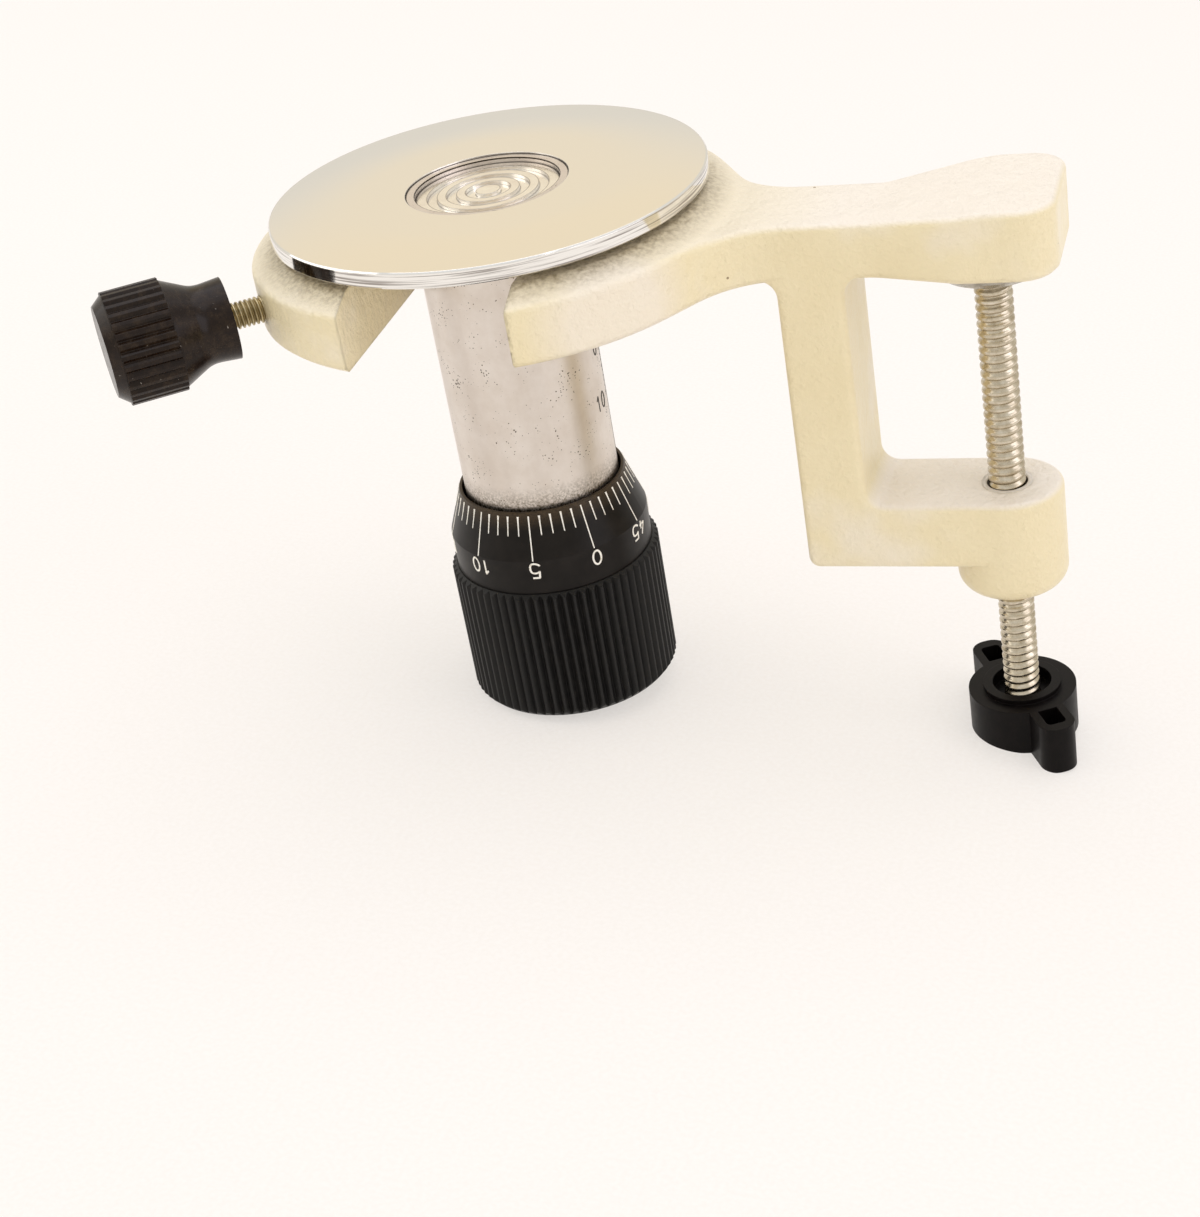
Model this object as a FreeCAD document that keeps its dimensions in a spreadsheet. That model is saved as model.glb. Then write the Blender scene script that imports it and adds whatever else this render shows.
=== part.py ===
import FreeCAD, Part
import math
import os
import Sketcher

# A hand microtome with a table clamp, in millimetres.
# The origin is the centre of the cutting plate's top face, on the barrel's axis.
# +Z runs up the barrel and +X runs along the arm to the table clamp.
# The barrel unit slides into the fork of the casting from the front, which is -Y.

doc = FreeCAD.newDocument("hand_microtome")
sheet = doc.addObject("Spreadsheet::Sheet", "Sizes")
sheet_rows = []
nodes = []


class Size:
    """A length, angle or count, with the text by which the document binds it."""

    def __init__(self, value, text):
        self.value = value
        self.text = text

    def __add__(self, other):
        other = as_size(other)
        return Size(self.value + other.value, f"({self.text} + {other.text})")

    def __sub__(self, other):
        other = as_size(other)
        return Size(self.value - other.value, f"({self.text} - {other.text})")

    def __mul__(self, other):
        other = as_size(other)
        return Size(self.value * other.value, f"({self.text} * {other.text})")

    def __truediv__(self, other):
        other = as_size(other)
        return Size(self.value / other.value, f"({self.text} / {other.text})")

    def __neg__(self):
        return Size(-self.value, f"(0 - {self.text})")

    def cosine(self):
        return Size(math.cos(math.radians(self.value)), f"cos({self.text} * 1 deg)")

    def sine(self):
        return Size(math.sin(math.radians(self.value)), f"sin({self.text} * 1 deg)")

    def root(self):
        return Size(math.sqrt(self.value), f"sqrt({self.text})")


def as_size(number):
    return number if isinstance(number, Size) else Size(float(number), f"{number:g}")


def size(name, value, meaning):
    """Enter one driving dimension in the sheet."""
    row = len(sheet_rows) + 1
    sheet.set(f"A{row}", name)
    sheet.set(f"B{row}", str(value))
    sheet.set(f"C{row}", meaning)
    sheet.setAlias(f"B{row}", name)
    sheet_rows.append(name)
    return Size(float(value), f"Sizes.{name}")


# Fits
running_gap = size("running_gap", 0.05, "radial clearance of a shaft that turns or slides in its hole")
seat_gap = size("seat_gap", 0.03, "radial clearance between pieces fixed to each other")
slot_gap = size("slot_gap", 0.1, "side clearance of the barrel in the fork")
face_gap = size("face_gap", 0.1, "clearance between flat faces that move past each other")

# Cutting plate and barrel
plate_radius = size("plate_radius", 37.5, "cutting plate, outer radius")
plate_thickness = size("plate_thickness", 2.8, "cutting plate, thickness of the disc")
plate_edge = size("plate_edge", 0.25, "cutting plate, broken edge of the rim")
hub_radius = size("hub_radius", 19.0, "seat ring under the plate, outer radius")
hub_depth = size("hub_depth", 1.3, "seat ring under the plate, depth")
barrel_radius = size("barrel_radius", 14.0, "barrel tube, outer radius")
barrel_wall = size("barrel_wall", 1.5, "barrel tube, wall")
barrel_recess = size("barrel_recess", 0.3, "barrel's end below the plate's top face")
barrel_end = size("barrel_end", 73.0, "depth of the barrel's lower end below the plate's top")

# Specimen plunger and its drive
plunger_recess = size("plunger_recess", 1.2, "plunger's face below the plate's top face")
plunger_length = size("plunger_length", 24.0, "plunger, length")
ring_depth = size("ring_depth", 0.6, "depth of the turned rings in the plunger's face")
ring_land = size("ring_land", 1.7, "width of each turned ring")
ring_pitch = size("ring_pitch", 3.3, "radial pitch of the turned rings")
ring_first = size("ring_first", 3.0, "mean radius of the innermost turned ring")
retainer_radius = size("retainer_radius", 8.5, "retaining plate, outer radius")
retainer_thickness = size("retainer_thickness", 2.0, "retaining plate, thickness")
thrust_radius = size("thrust_radius", 5.0, "thrust disc on the spindle, radius")
thrust_thickness = size("thrust_thickness", 2.5, "thrust disc on the spindle, thickness")
spindle_neck = size("spindle_neck", 3.0, "spindle's neck and lower journal, radius")
neck_length = size("neck_length", 2.0, "neck showing below the retaining plate")
spindle_radius = size("spindle_radius", 4.0, "feed thread, outer radius")
retainer_screw_radius = size("retainer_screw_radius", 1.0, "retaining plate screws, shank radius")
retainer_screw_head = size("retainer_screw_head", 1.6, "retaining plate screws, head radius")
retainer_screw_circle = size("retainer_screw_circle", 6.7, "retaining plate screws, pitch circle radius")
retainer_screw_depth = size("retainer_screw_depth", 4.0, "retaining plate screws, depth in the plunger")
head_sink = size("head_sink", 0.9, "depth of a small screw's head")
guide_depth = size("guide_depth", 21.6, "guide screw's depth below the plate's top")
guide_radius = size("guide_radius", 1.5, "guide screw, radius")
guide_reach = size("guide_reach", 1.9, "guide screw's reach into the keyway")
keyway_depth = size("keyway_depth", 2.3, "keyway in the plunger, depth")
keyway_start = size("keyway_start", 3.0, "plain length of the plunger above its keyway")
bush_length = size("bush_length", 12.0, "feed nut, length inside the barrel")
bush_flange = size("bush_flange", 1.5, "feed nut, thickness of its flange")

# Feed drum
sleeve_gap = size("sleeve_gap", 0.55, "air gap between the barrel and the graduated sleeve")
sleeve_rim = size("sleeve_rim", 0.5, "wall of the graduated sleeve at its top rim")
sleeve_top = size("sleeve_top", 55.5, "sleeve's top rim below the plate's top")
sleeve_radius = size("sleeve_radius", 18.0, "numbered cylinder of the sleeve, radius")
bevel_height = size("bevel_height", 8.2, "height of the graduated bevel")
sleeve_band = size("sleeve_band", 6.6, "height of the numbered cylinder")
spigot_radius = size("spigot_radius", 16.9, "sleeve's spigot inside the grip, radius")
spigot_length = size("spigot_length", 9.0, "sleeve's spigot inside the grip, length")
grip_radius = size("grip_radius", 19.15, "ribbed grip, radius over the ribs")
grip_bottom = size("grip_bottom", 96.1, "grip's base below the plate's top")
grip_cavity = size("grip_cavity", 15.6, "grip's cavity, radius")
grip_floor = size("grip_floor", 5.6, "thickness of the grip's base")
grip_top_chamfer = size("grip_top_chamfer", 0.8, "chamfer at the grip's top edge")
grip_base_round = size("grip_base_round", 1.2, "rounding at the grip's base edge")
rib_count = size("rib_count", 68, "ribs round the grip")
rib_depth = size("rib_depth", 0.85, "depth of the grooves between the ribs")
rib_crest = size("rib_crest", 0.4, "width of a rib's crest")
base_recess_radius = size("base_recess_radius", 8.5, "recess under the grip, radius")
base_recess_depth = size("base_recess_depth", 3.4, "recess under the grip, depth")
washer_radius = size("washer_radius", 6.8, "drum washer, radius")
washer_thickness = size("washer_thickness", 0.8, "drum washer, thickness")
nut_flats = size("nut_flats", 10.0, "drum nut, width across its flats")
nut_thickness = size("nut_thickness", 2.2, "drum nut, thickness")

# Fork head of the casting
head_radius = size("head_radius", 41.8, "fork head, outer radius in plan")
head_bottom = size("head_bottom", 16.1, "underside of the head and arm below the plate's top")
seat_radius = size("seat_radius", 36.6, "flat seat on the fork head, radius")
shoulder_depth = size("shoulder_depth", 6.7, "arm's top at the neck, below the plate's top")
shoulder_foot = size("shoulder_foot", 42.6, "radius at which the shoulder's slope meets the arm's top")
shoulder_blend = size("shoulder_blend", 7.0, "hollow between the shoulder and the arm's top, radius")
cast_round = size("cast_round", 1.2, "rounding of the casting's edges")
cast_chamfer = size("cast_chamfer", 0.7, "chamfer round the casting's underside")
arm_half = size("arm_half", 9.3, "half width of the neck, the upright and the lower arm")
jaw_half = size("jaw_half", 13.2, "half width of the upper jaw")
neck_angle = size("neck_angle", 33.0, "direction in which the arm leaves the head's circle, in degrees")
neck_cut = size("neck_cut", 44.0, "start of the level top of the neck")
shoulder_reach = size("shoulder_reach", 60.0, "reach of the shoulder's level foot over the arm")
flare_start = size("flare_start", 66.0, "start of the jaw's flare")
flare_end = size("flare_end", 80.0, "end of the jaw's flare")
jaw_end = size("jaw_end", 95.3, "end of the upper jaw")
neck_curve = size("neck_curve", 15.0, "plan radius between the head and the neck")
flare_curve = size("flare_curve", 11.0, "plan radius of the jaw's flare")
jaw_corner = size("jaw_corner", 6.0, "plan radius of the jaw's corners")
jaw_top = size("jaw_top", 4.4, "jaw's top below the plate's top")
ramp_high = size("ramp_high", 84.0, "point where the arm's top has risen again")

# Table clamp
upright_near = size("upright_near", 49.6, "upright's face towards the barrel")
upright_width = size("upright_width", 11.2, "upright, width along the arm")
lower_arm_top = size("lower_arm_top", 58.1, "lower arm's top below the plate's top")
lower_arm_depth = size("lower_arm_depth", 12.0, "lower arm, depth")
boss_bottom = size("boss_bottom", 77.6, "boss's bottom below the plate's top")
boss_radius = size("boss_radius", 9.5, "boss, radius")
boss_round = size("boss_round", 3.4, "rounding of the boss's lower edge")
clamp_corner = size("clamp_corner", 3.2, "radius inside the clamp's corners")
clamp_reach = size("clamp_reach", 83.5, "clamp screw's distance from the barrel's axis")
clamp_screw_radius = size("clamp_screw_radius", 3.15, "clamp screw, outer radius of its thread")
countersink = size("countersink", 1.1, "countersink round the clamp screw's hole")
pad_radius = size("pad_radius", 9.5, "clamp pad, radius")
pad_thickness = size("pad_thickness", 2.6, "clamp pad, thickness")
pad_recess_depth = size("pad_recess_depth", 1.4, "recess in the pad's top, depth")
rivet_head_radius = size("rivet_head_radius", 3.4, "peened head of the clamp screw, radius")
rivet_neck_radius = size("rivet_neck_radius", 2.2, "clamp screw's neck in the pad, radius")
knob_top = size("knob_top", 99.5, "wing knob's top below the plate's top")
knob_height = size("knob_height", 9.0, "wing knob, height")
knob_radius = size("knob_radius", 9.5, "wing knob's body, radius")
collar_radius = size("collar_radius", 6.9, "wing knob's collar, radius")
collar_height = size("collar_height", 0.9, "wing knob's collar, height")
well_radius = size("well_radius", 5.2, "recess round the screw, radius")
well_depth = size("well_depth", 2.4, "recess round the screw, depth")
wing_reach = size("wing_reach", 16.4, "reach of each wing from the screw's axis")
wing_half = size("wing_half", 3.25, "half width of a wing")
wing_offset = size("wing_offset", 0.85, "sideways offset of each wing")
wing_wall = size("wing_wall", 1.5, "wall of a hollow wing")
wing_pocket = size("wing_pocket", 7.0, "depth of the hollow in a wing")
wing_turn = size("wing_turn", -62.0, "direction of the first wing, in degrees from +X")

# Lock screw with its knob
lock_angle = size("lock_angle", 35.0, "lock screw's direction from -X towards -Y, in degrees")
lock_depth = size("lock_depth", 11.0, "lock screw's axis below the plate's top")
lock_radius = size("lock_radius", 2.3, "lock screw, outer radius of its thread")
lock_pad_radius = size("lock_pad_radius", 1.9, "pressure pad, radius")
lock_pad_length = size("lock_pad_length", 2.5, "pressure pad, length of its head")
lock_tail_radius = size("lock_tail_radius", 0.9, "pressure pad's tail, radius")
lock_tail_length = size("lock_tail_length", 3.0, "pressure pad's tail, length")
lock_showing = size("lock_showing", 5.7, "thread that shows between the casting and the knob")
knob_bore_depth = size("knob_bore_depth", 12.0, "depth of the lock screw in its knob")
side_collar_radius = size("side_collar_radius", 7.0, "side knob's collar, radius")
side_collar_length = size("side_collar_length", 3.4, "side knob's collar, length")
side_neck_radius = size("side_neck_radius", 6.7, "side knob's neck, radius")
side_neck_curve = size("side_neck_curve", 4.5, "side knob's neck, radius of its curves along the axis")
side_neck_length = size("side_neck_length", 1.6, "side knob's neck, length")
side_cone_length = size("side_cone_length", 4.8, "side knob's cone, length")
side_grip_radius = size("side_grip_radius", 9.6, "side knob's fluted grip, radius")
side_grip_length = size("side_grip_length", 9.8, "side knob's fluted grip, length")
side_end_length = size("side_end_length", 1.7, "side knob's end chamfer, length")
side_end_radius = size("side_end_radius", 7.7, "side knob's end face, radius")
side_rib_count = size("side_rib_count", 32, "ribs round the side knob")
side_rib_inset = size("side_rib_inset", 0.1, "plain edge at each end of the side knob's ribs")
side_rib_height = size("side_rib_height", 0.5, "height of the side knob's ribs")


def bind(thing, name, amount):
    """Bind one property of a document object to a size."""
    amount = as_size(amount)
    thing.setExpression(name, amount.text)


def new_body(name):
    body = doc.addObject("PartDesign::Body", name)
    body.Label = name
    nodes.append(body)
    return body


def origin_feature(body, role):
    return next(item for item in body.Origin.OriginFeatures if item.Role == role)


def new_sketch(body, name, plane="XY_Plane", lift=0, across=0):
    """Attach a sketch to a plane of the body's origin, lifted off it and shifted along its X."""
    sketch = body.newObject("Sketcher::SketchObject", name)
    sketch.AttachmentSupport = [(origin_feature(body, plane), "")]
    sketch.MapMode = "FlatFace"
    lift, across = as_size(lift), as_size(across)
    sketch.AttachmentOffset = FreeCAD.Placement(FreeCAD.Vector(across.value, 0, lift.value), FreeCAD.Rotation())
    bind(sketch, "AttachmentOffset.Base.x", across)
    bind(sketch, "AttachmentOffset.Base.z", lift)
    return sketch


def dimension(sketch, kind, where, amount):
    """Add a dimension to a sketch and bind it."""
    index = sketch.addConstraint(Sketcher.Constraint(kind, *where, amount.value))
    bind(sketch, f"Constraints[{index}]", amount)


def place_point(sketch, geometry, end, across, up):
    """Fix one point of a sketch by its distances from the origin."""
    x_axis, y_axis = -1, -2
    if across.text == "0":
        sketch.addConstraint(Sketcher.Constraint("PointOnObject", geometry, end, y_axis))
    else:
        dimension(sketch, "DistanceX", (-1, 1, geometry, end), across)
    if up.text == "0":
        sketch.addConstraint(Sketcher.Constraint("PointOnObject", geometry, end, x_axis))
    else:
        dimension(sketch, "DistanceY", (-1, 1, geometry, end), up)


def draw_circle(sketch, radius, across=0, up=0):
    radius, across, up = as_size(radius), as_size(across), as_size(up)
    middle = FreeCAD.Vector(across.value, up.value, 0)
    geometry = sketch.addGeometry(Part.Circle(middle, FreeCAD.Vector(0, 0, 1), radius.value), False)
    dimension(sketch, "Radius", (geometry,), radius)
    place_point(sketch, geometry, 3, across, up)


def draw_outline(sketch, corners):
    """Draw a closed outline. A corner is (across, up) or (across, up, radius of its rounding)."""
    corners = [tuple(as_size(part) for part in corner) for corner in corners]
    spots = [FreeCAD.Vector(corner[0].value, corner[1].value, 0) for corner in corners]
    count = len(corners)
    starts, ends, arcs = [], [], []
    for index, corner in enumerate(corners):
        spot = spots[index]
        before = (spots[index - 1] - spot).normalize()
        after = (spots[(index + 1) % count] - spot).normalize()
        if len(corner) == 2:
            ends.append(spot)
            starts.append(spot)
            arcs.append(None)
            continue
        half = before.getAngle(after) / 2
        reach = corner[2].value / math.tan(half)
        ends.append(spot + before * reach)
        starts.append(spot + after * reach)
        middle = spot + (before + after).normalize() * (corner[2].value / math.sin(half))
        arcs.append((middle, before.cross(after).z < 0))
    lines = []
    for index in range(count):
        line = Part.LineSegment(starts[index], ends[(index + 1) % count])
        lines.append(sketch.addGeometry(line, False))
    for index, corner in enumerate(corners):
        line_in, line_out = lines[index - 1], lines[index]
        if arcs[index] is None:
            sketch.addConstraint(Sketcher.Constraint("Coincident", line_in, 2, line_out, 1))
            place_point(sketch, line_out, 1, corner[0], corner[1])
            continue
        middle, left_turn = arcs[index]
        first, last = (ends[index], starts[index]) if left_turn else (starts[index], ends[index])
        angle_first = math.atan2(first.y - middle.y, first.x - middle.x)
        angle_last = math.atan2(last.y - middle.y, last.x - middle.x)
        circle = Part.Circle(middle, FreeCAD.Vector(0, 0, 1), corner[2].value)
        arc = sketch.addGeometry(Part.ArcOfCircle(circle, angle_first, angle_last), False)
        end_in, end_out = (1, 2) if left_turn else (2, 1)
        sketch.addConstraint(Sketcher.Constraint("Tangent", line_in, 2, arc, end_in))
        sketch.addConstraint(Sketcher.Constraint("Tangent", arc, end_out, line_out, 1))
        dimension(sketch, "Radius", (arc,), corner[2])
        point = sketch.addGeometry(Part.Point(spots[index]), True)
        place_point(sketch, point, 1, corner[0], corner[1])
        sketch.addConstraint(Sketcher.Constraint("PointOnObject", point, 1, line_in))
        sketch.addConstraint(Sketcher.Constraint("PointOnObject", point, 1, line_out))


def draw_spread_root(sketch, near, far, under):
    """Draw the upright's root: two hollow quarter arcs spread its width up to the arm's underside."""
    radius = clamp_corner
    top = under + 4
    low = under - radius * 3
    arc_foot = under - radius
    left, right = near - radius, far + radius
    corners = [(near, low), (far, low), (far, arc_foot), (right, under), (right, top), (left, top), (left, under), (near, arc_foot)]
    spots = [FreeCAD.Vector(x.value, y.value, 0) for x, y in corners]
    items = []
    for index in range(len(spots)):
        first, last = spots[index], spots[(index + 1) % len(spots)]
        if index == 2:
            middle = FreeCAD.Vector(right.value, arc_foot.value, 0)
            arc = Part.Circle(middle, FreeCAD.Vector(0, 0, 1), radius.value)
            items.append(sketch.addGeometry(Part.ArcOfCircle(arc, math.pi / 2, math.pi), False))
        elif index == 6:
            middle = FreeCAD.Vector(left.value, arc_foot.value, 0)
            arc = Part.Circle(middle, FreeCAD.Vector(0, 0, 1), radius.value)
            items.append(sketch.addGeometry(Part.ArcOfCircle(arc, 0, math.pi / 2), False))
        else:
            items.append(sketch.addGeometry(Part.LineSegment(first, last), False))
    arc_ends = {2: (2, 1), 6: (2, 1)}
    for index in range(len(items)):
        after = (index + 1) % len(items)
        end = arc_ends.get(index, (1, 2))[1]
        start = arc_ends.get(after, (1, 2))[0]
        sketch.addConstraint(Sketcher.Constraint("Coincident", items[index], end, items[after], start))
        place_point(sketch, items[after], start, corners[after][0], corners[after][1])
    for index in (2, 6):
        dimension(sketch, "Radius", (items[index],), radius)


def extrude(body, kind, name, sketch, length, symmetric=False, reverse=False):
    feature = body.newObject(kind, name)
    feature.Profile = sketch
    if symmetric:
        feature.SideType = "Symmetric"
    feature.Reversed = reverse
    bind(feature, "Length", length)
    doc.recompute()
    return feature


def pad(body, name, sketch, length, symmetric=False, reverse=False):
    return extrude(body, "PartDesign::Pad", name, sketch, length, symmetric, reverse)


def pocket(body, name, sketch, length, symmetric=False, reverse=False):
    """Cut along the sketch's normal, and see that it cuts."""
    volume = body.Shape.Volume
    feature = extrude(body, "PartDesign::Pocket", name, sketch, length, symmetric, reverse)
    if body.Shape.Volume > volume - 1e-6:
        raise RuntimeError(f"{body.Label}: {name} cuts nothing")
    return feature


def turn(body, name, corners):
    """Turn a closed outline of (radius, height) corners about the body's Z axis."""
    sketch = new_sketch(body, name + "_profile", "XZ_Plane")
    draw_outline(sketch, corners)
    return revolve(body, name, sketch)


def revolve(body, name, sketch):
    """Turn a sketch about its own vertical axis."""
    feature = body.newObject("PartDesign::Revolution", name)
    feature.Profile = sketch
    feature.ReferenceAxis = (sketch, ["V_Axis"])
    feature.Angle = 360
    doc.recompute()
    return feature


def groove(body, name, sketch):
    """Cut a sketch's outline all round the body's Z axis, and see that it cuts."""
    volume = body.Shape.Volume
    feature = body.newObject("PartDesign::Groove", name)
    feature.Profile = sketch
    feature.ReferenceAxis = (sketch, ["V_Axis"])
    feature.Angle = 360
    doc.recompute()
    if body.Shape.Volume > volume - 1e-6:
        raise RuntimeError(f"{body.Label}: {name} cuts nothing")
    return feature


def repeat_round(body, name, feature, count):
    """Repeat a feature round the body's Z axis."""
    pattern = body.newObject("PartDesign::PolarPattern", name)
    pattern.Originals = [feature]
    pattern.Axis = (origin_feature(body, "Z_Axis"), [""])
    pattern.Angle = 360
    bind(pattern, "Occurrences", count)
    body.Tip = pattern
    doc.recompute()
    return pattern


def dress(body, kind, name, amount, keep):
    """Round or chamfer the edges of the body that keep chooses."""
    base = body.Tip
    names = [f"Edge{index + 1}" for index, edge in enumerate(base.Shape.Edges) if keep(edge)]
    feature = body.newObject(kind, name)
    feature.Base = (base, names)
    bind(feature, "Radius" if kind.endswith("Fillet") else "Size", amount)
    doc.recompute()
    return feature


def level_circle(edge, radius, height):
    """Whether an edge is a level circle of this radius at this height."""
    if not isinstance(edge.Curve, Part.Circle):
        return False
    near = abs(edge.Curve.Radius - radius.value) < 1e-4
    return near and abs(edge.Curve.Center.z - height.value) < 1e-4 and abs(edge.Curve.Axis.z) > 0.999


def normal_at(face, point):
    return face.normalAt(*face.Surface.parameter(point))


def on_rim(edge, shape):
    """Whether an edge lies between an upright wall and a face that looks up or down."""
    faces = shape.ancestorsOfType(edge, Part.Face)
    if len(faces) != 2:
        return False
    point = edge.valueAt((edge.FirstParameter + edge.LastParameter) / 2)
    slopes = sorted(abs(normal_at(face, point).z) for face in faces)
    return slopes[0] < 0.05 and slopes[1] > 0.5


def shift(body, across=None, up=None):
    """Place a body, bound to the sheet."""
    base = FreeCAD.Vector(across.value if across else 0, 0, up.value if up else 0)
    body.Placement = FreeCAD.Placement(base, FreeCAD.Rotation())
    if across:
        bind(body, "Placement.Base.x", across)
    if up:
        bind(body, "Placement.Base.z", up)


# Levels along the barrel's axis, all below the plate's top face
plunger_top = -plunger_recess
plunger_bottom = plunger_top - plunger_length
barrel_bore = barrel_radius - barrel_wall
plunger_radius = barrel_bore - running_gap
retainer_top = plunger_bottom + retainer_thickness
head_pocket_top = retainer_top + thrust_thickness + face_gap * 2
thrust_top = head_pocket_top - face_gap
thrust_bottom = thrust_top - thrust_thickness
neck_end = plunger_bottom - neck_length
sleeve_bottom = -(sleeve_top + bevel_height + sleeve_band)
grip_base = -grip_bottom
floor_top = grip_base + grip_floor
recess_top = grip_base + base_recess_depth
head_top = -(plate_thickness + hub_depth + face_gap)


def make_cutting_plate():
    """The polished steel disc, turned with a seat ring that stands on the fork."""
    body = new_body("cutting_plate")
    hole = barrel_radius + seat_gap
    under = -(plate_thickness + hub_depth)
    turn(body, "plate_turning", [
        (hole, under),
        (hub_radius, under),
        (hub_radius, -plate_thickness),
        (plate_radius - plate_edge, -plate_thickness),
        (plate_radius, -plate_thickness + plate_edge),
        (plate_radius, -plate_edge),
        (plate_radius - plate_edge, 0),
        (hole, 0),
    ])


def make_barrel():
    """The aluminium tube that holds the specimen, with the guide screw's hole at the back."""
    body = new_body("barrel")
    turn(body, "tube", [
        (barrel_bore, -barrel_end),
        (barrel_radius, -barrel_end),
        (barrel_radius, -barrel_recess),
        (barrel_bore, -barrel_recess),
    ])
    sketch = new_sketch(body, "guide_hole_circle", "XZ_Plane")
    draw_circle(sketch, guide_radius + seat_gap, 0, -guide_depth)
    pocket(body, "guide_hole", sketch, barrel_radius + 1, reverse=False)


def make_guide_screw():
    """A slotted grub screw that keeps the plunger from turning."""
    body = new_body("guide_screw")
    sketch = new_sketch(body, "shank_circle", "XZ_Plane", -(barrel_radius - 0.1))
    draw_circle(sketch, guide_radius, 0, -guide_depth)
    pad(body, "shank", sketch, barrel_wall + guide_reach, reverse=False)
    slot = new_sketch(body, "slot_outline", "XZ_Plane", -(barrel_radius - 0.1))
    half = guide_radius / 6
    draw_outline(slot, [
        (-guide_radius * 1.2, -guide_depth - half),
        (guide_radius * 1.2, -guide_depth - half),
        (guide_radius * 1.2, -guide_depth + half),
        (-guide_radius * 1.2, -guide_depth + half),
    ])
    pocket(body, "slot", slot, guide_radius / 2, reverse=True)


def make_plunger():
    """The specimen plunger: turned rings in its face, a keyway behind, the spindle's seat below."""
    body = new_body("plunger")
    face = []
    for index in range(3):
        middle = ring_first + ring_pitch * index
        face += [
            (middle - ring_land / 2, plunger_top),
            (middle - ring_land / 2, plunger_top - ring_depth),
            (middle + ring_land / 2, plunger_top - ring_depth),
            (middle + ring_land / 2, plunger_top),
        ]
    seat = retainer_radius + seat_gap
    turn(body, "plunger_turning", [
        (0, plunger_top),
        *face,
        (plunger_radius, plunger_top),
        (plunger_radius, plunger_bottom),
        (seat, plunger_bottom),
        (seat, retainer_top),
        (thrust_radius + running_gap, retainer_top),
        (thrust_radius + running_gap, head_pocket_top),
        (0, head_pocket_top),
    ])
    sketch = new_sketch(body, "keyway_outline", "XY_Plane", plunger_bottom)
    half = guide_radius + running_gap
    draw_outline(sketch, [
        (-half, plunger_radius - keyway_depth),
        (half, plunger_radius - keyway_depth),
        (half, plunger_radius + 1),
        (-half, plunger_radius + 1),
    ])
    pocket(body, "keyway", sketch, plunger_length - keyway_start, reverse=True)
    screw = new_sketch(body, "screw_hole_circle", "XY_Plane", retainer_top)
    draw_circle(screw, retainer_screw_radius + seat_gap, retainer_screw_circle, 0)
    hole = pocket(body, "screw_hole", screw, retainer_screw_depth + face_gap, reverse=True)
    repeat_round(body, "screw_holes", hole, 3)


def make_retainer():
    """The ring plate that holds the spindle's thrust disc in the plunger."""
    body = new_body("retaining_plate")
    turn(body, "ring", [
        (spindle_neck + running_gap, plunger_bottom),
        (retainer_radius, plunger_bottom),
        (retainer_radius, retainer_top),
        (spindle_neck + running_gap, retainer_top),
    ])
    screw = new_sketch(body, "screw_hole_circle", "XY_Plane", plunger_bottom)
    draw_circle(screw, retainer_screw_radius + seat_gap, retainer_screw_circle, 0)
    hole = pocket(body, "screw_hole", screw, retainer_thickness, reverse=True)
    repeat_round(body, "screw_holes", hole, 3)
    sink = new_sketch(body, "sink_circle", "XY_Plane", plunger_bottom)
    draw_circle(sink, retainer_screw_head + seat_gap, retainer_screw_circle, 0)
    sunk = pocket(body, "sink", sink, head_sink + seat_gap, reverse=True)
    repeat_round(body, "sinks", sunk, 3)


def screw_solid(index):
    """One cheese-head screw of the retaining plate, as a shape."""
    across = retainer_screw_circle.value
    foot = plunger_bottom.value
    shank = Part.makeCylinder(
        retainer_screw_radius.value,
        (retainer_thickness + retainer_screw_depth).value - head_sink.value,
        FreeCAD.Vector(across, 0, foot + head_sink.value),
    )
    head = Part.makeCylinder(retainer_screw_head.value, head_sink.value, FreeCAD.Vector(across, 0, foot))
    screw = shank.fuse(head).removeSplitter()
    screw.rotate(FreeCAD.Vector(), FreeCAD.Vector(0, 0, 1), 120 * index)
    return screw


def make_retainer_screws():
    """Three screws in one node."""
    feature = doc.addObject("Part::Feature", "retainer_screws")
    feature.Label = "retainer_screws"
    feature.Shape = Part.makeCompound([screw_solid(index) for index in range(3)])
    nodes.append(feature)


def make_feed_nut():
    """The brass nut fixed in the barrel's lower end, whose fine thread carries the spindle."""
    body = new_body("feed_nut")
    bottom = -barrel_end - bush_flange
    turn(body, "nut_turning", [
        (spindle_radius + running_gap, bottom),
        (barrel_radius - seat_gap, bottom),
        (barrel_radius - seat_gap, -barrel_end),
        (barrel_bore - seat_gap, -barrel_end),
        (barrel_bore - seat_gap, -barrel_end + bush_length),
        (spindle_radius + running_gap, -barrel_end + bush_length),
    ])


def make_feed_spindle():
    """The steel feed screw: thrust disc, neck, thread, and the journal that carries the drum."""
    body = new_body("feed_spindle")
    journal_end = recess_top - washer_thickness - nut_thickness - 0.3
    turn(body, "spindle_turning", [
        (0, thrust_top),
        (thrust_radius, thrust_top),
        (thrust_radius, thrust_bottom),
        (spindle_neck, thrust_bottom),
        (spindle_neck, neck_end),
        (spindle_radius, neck_end),
        (spindle_radius, floor_top),
        (spindle_neck, floor_top),
        (spindle_neck, journal_end),
        (0, journal_end),
    ])


def make_graduated_sleeve():
    """The black thimble: a thin rim, the graduated bevel, the numbered band and its spigot."""
    body = new_body("graduated_sleeve")
    bore = barrel_radius + sleeve_gap
    bevel_foot = -(sleeve_top + bevel_height)
    spigot_foot = sleeve_bottom - spigot_length
    turn(body, "sleeve_turning", [
        (bore, spigot_foot),
        (spigot_radius, spigot_foot),
        (spigot_radius, sleeve_bottom),
        (sleeve_radius, sleeve_bottom),
        (sleeve_radius, bevel_foot),
        (bore + sleeve_rim, -sleeve_top),
        (bore, -sleeve_top),
    ])


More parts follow.
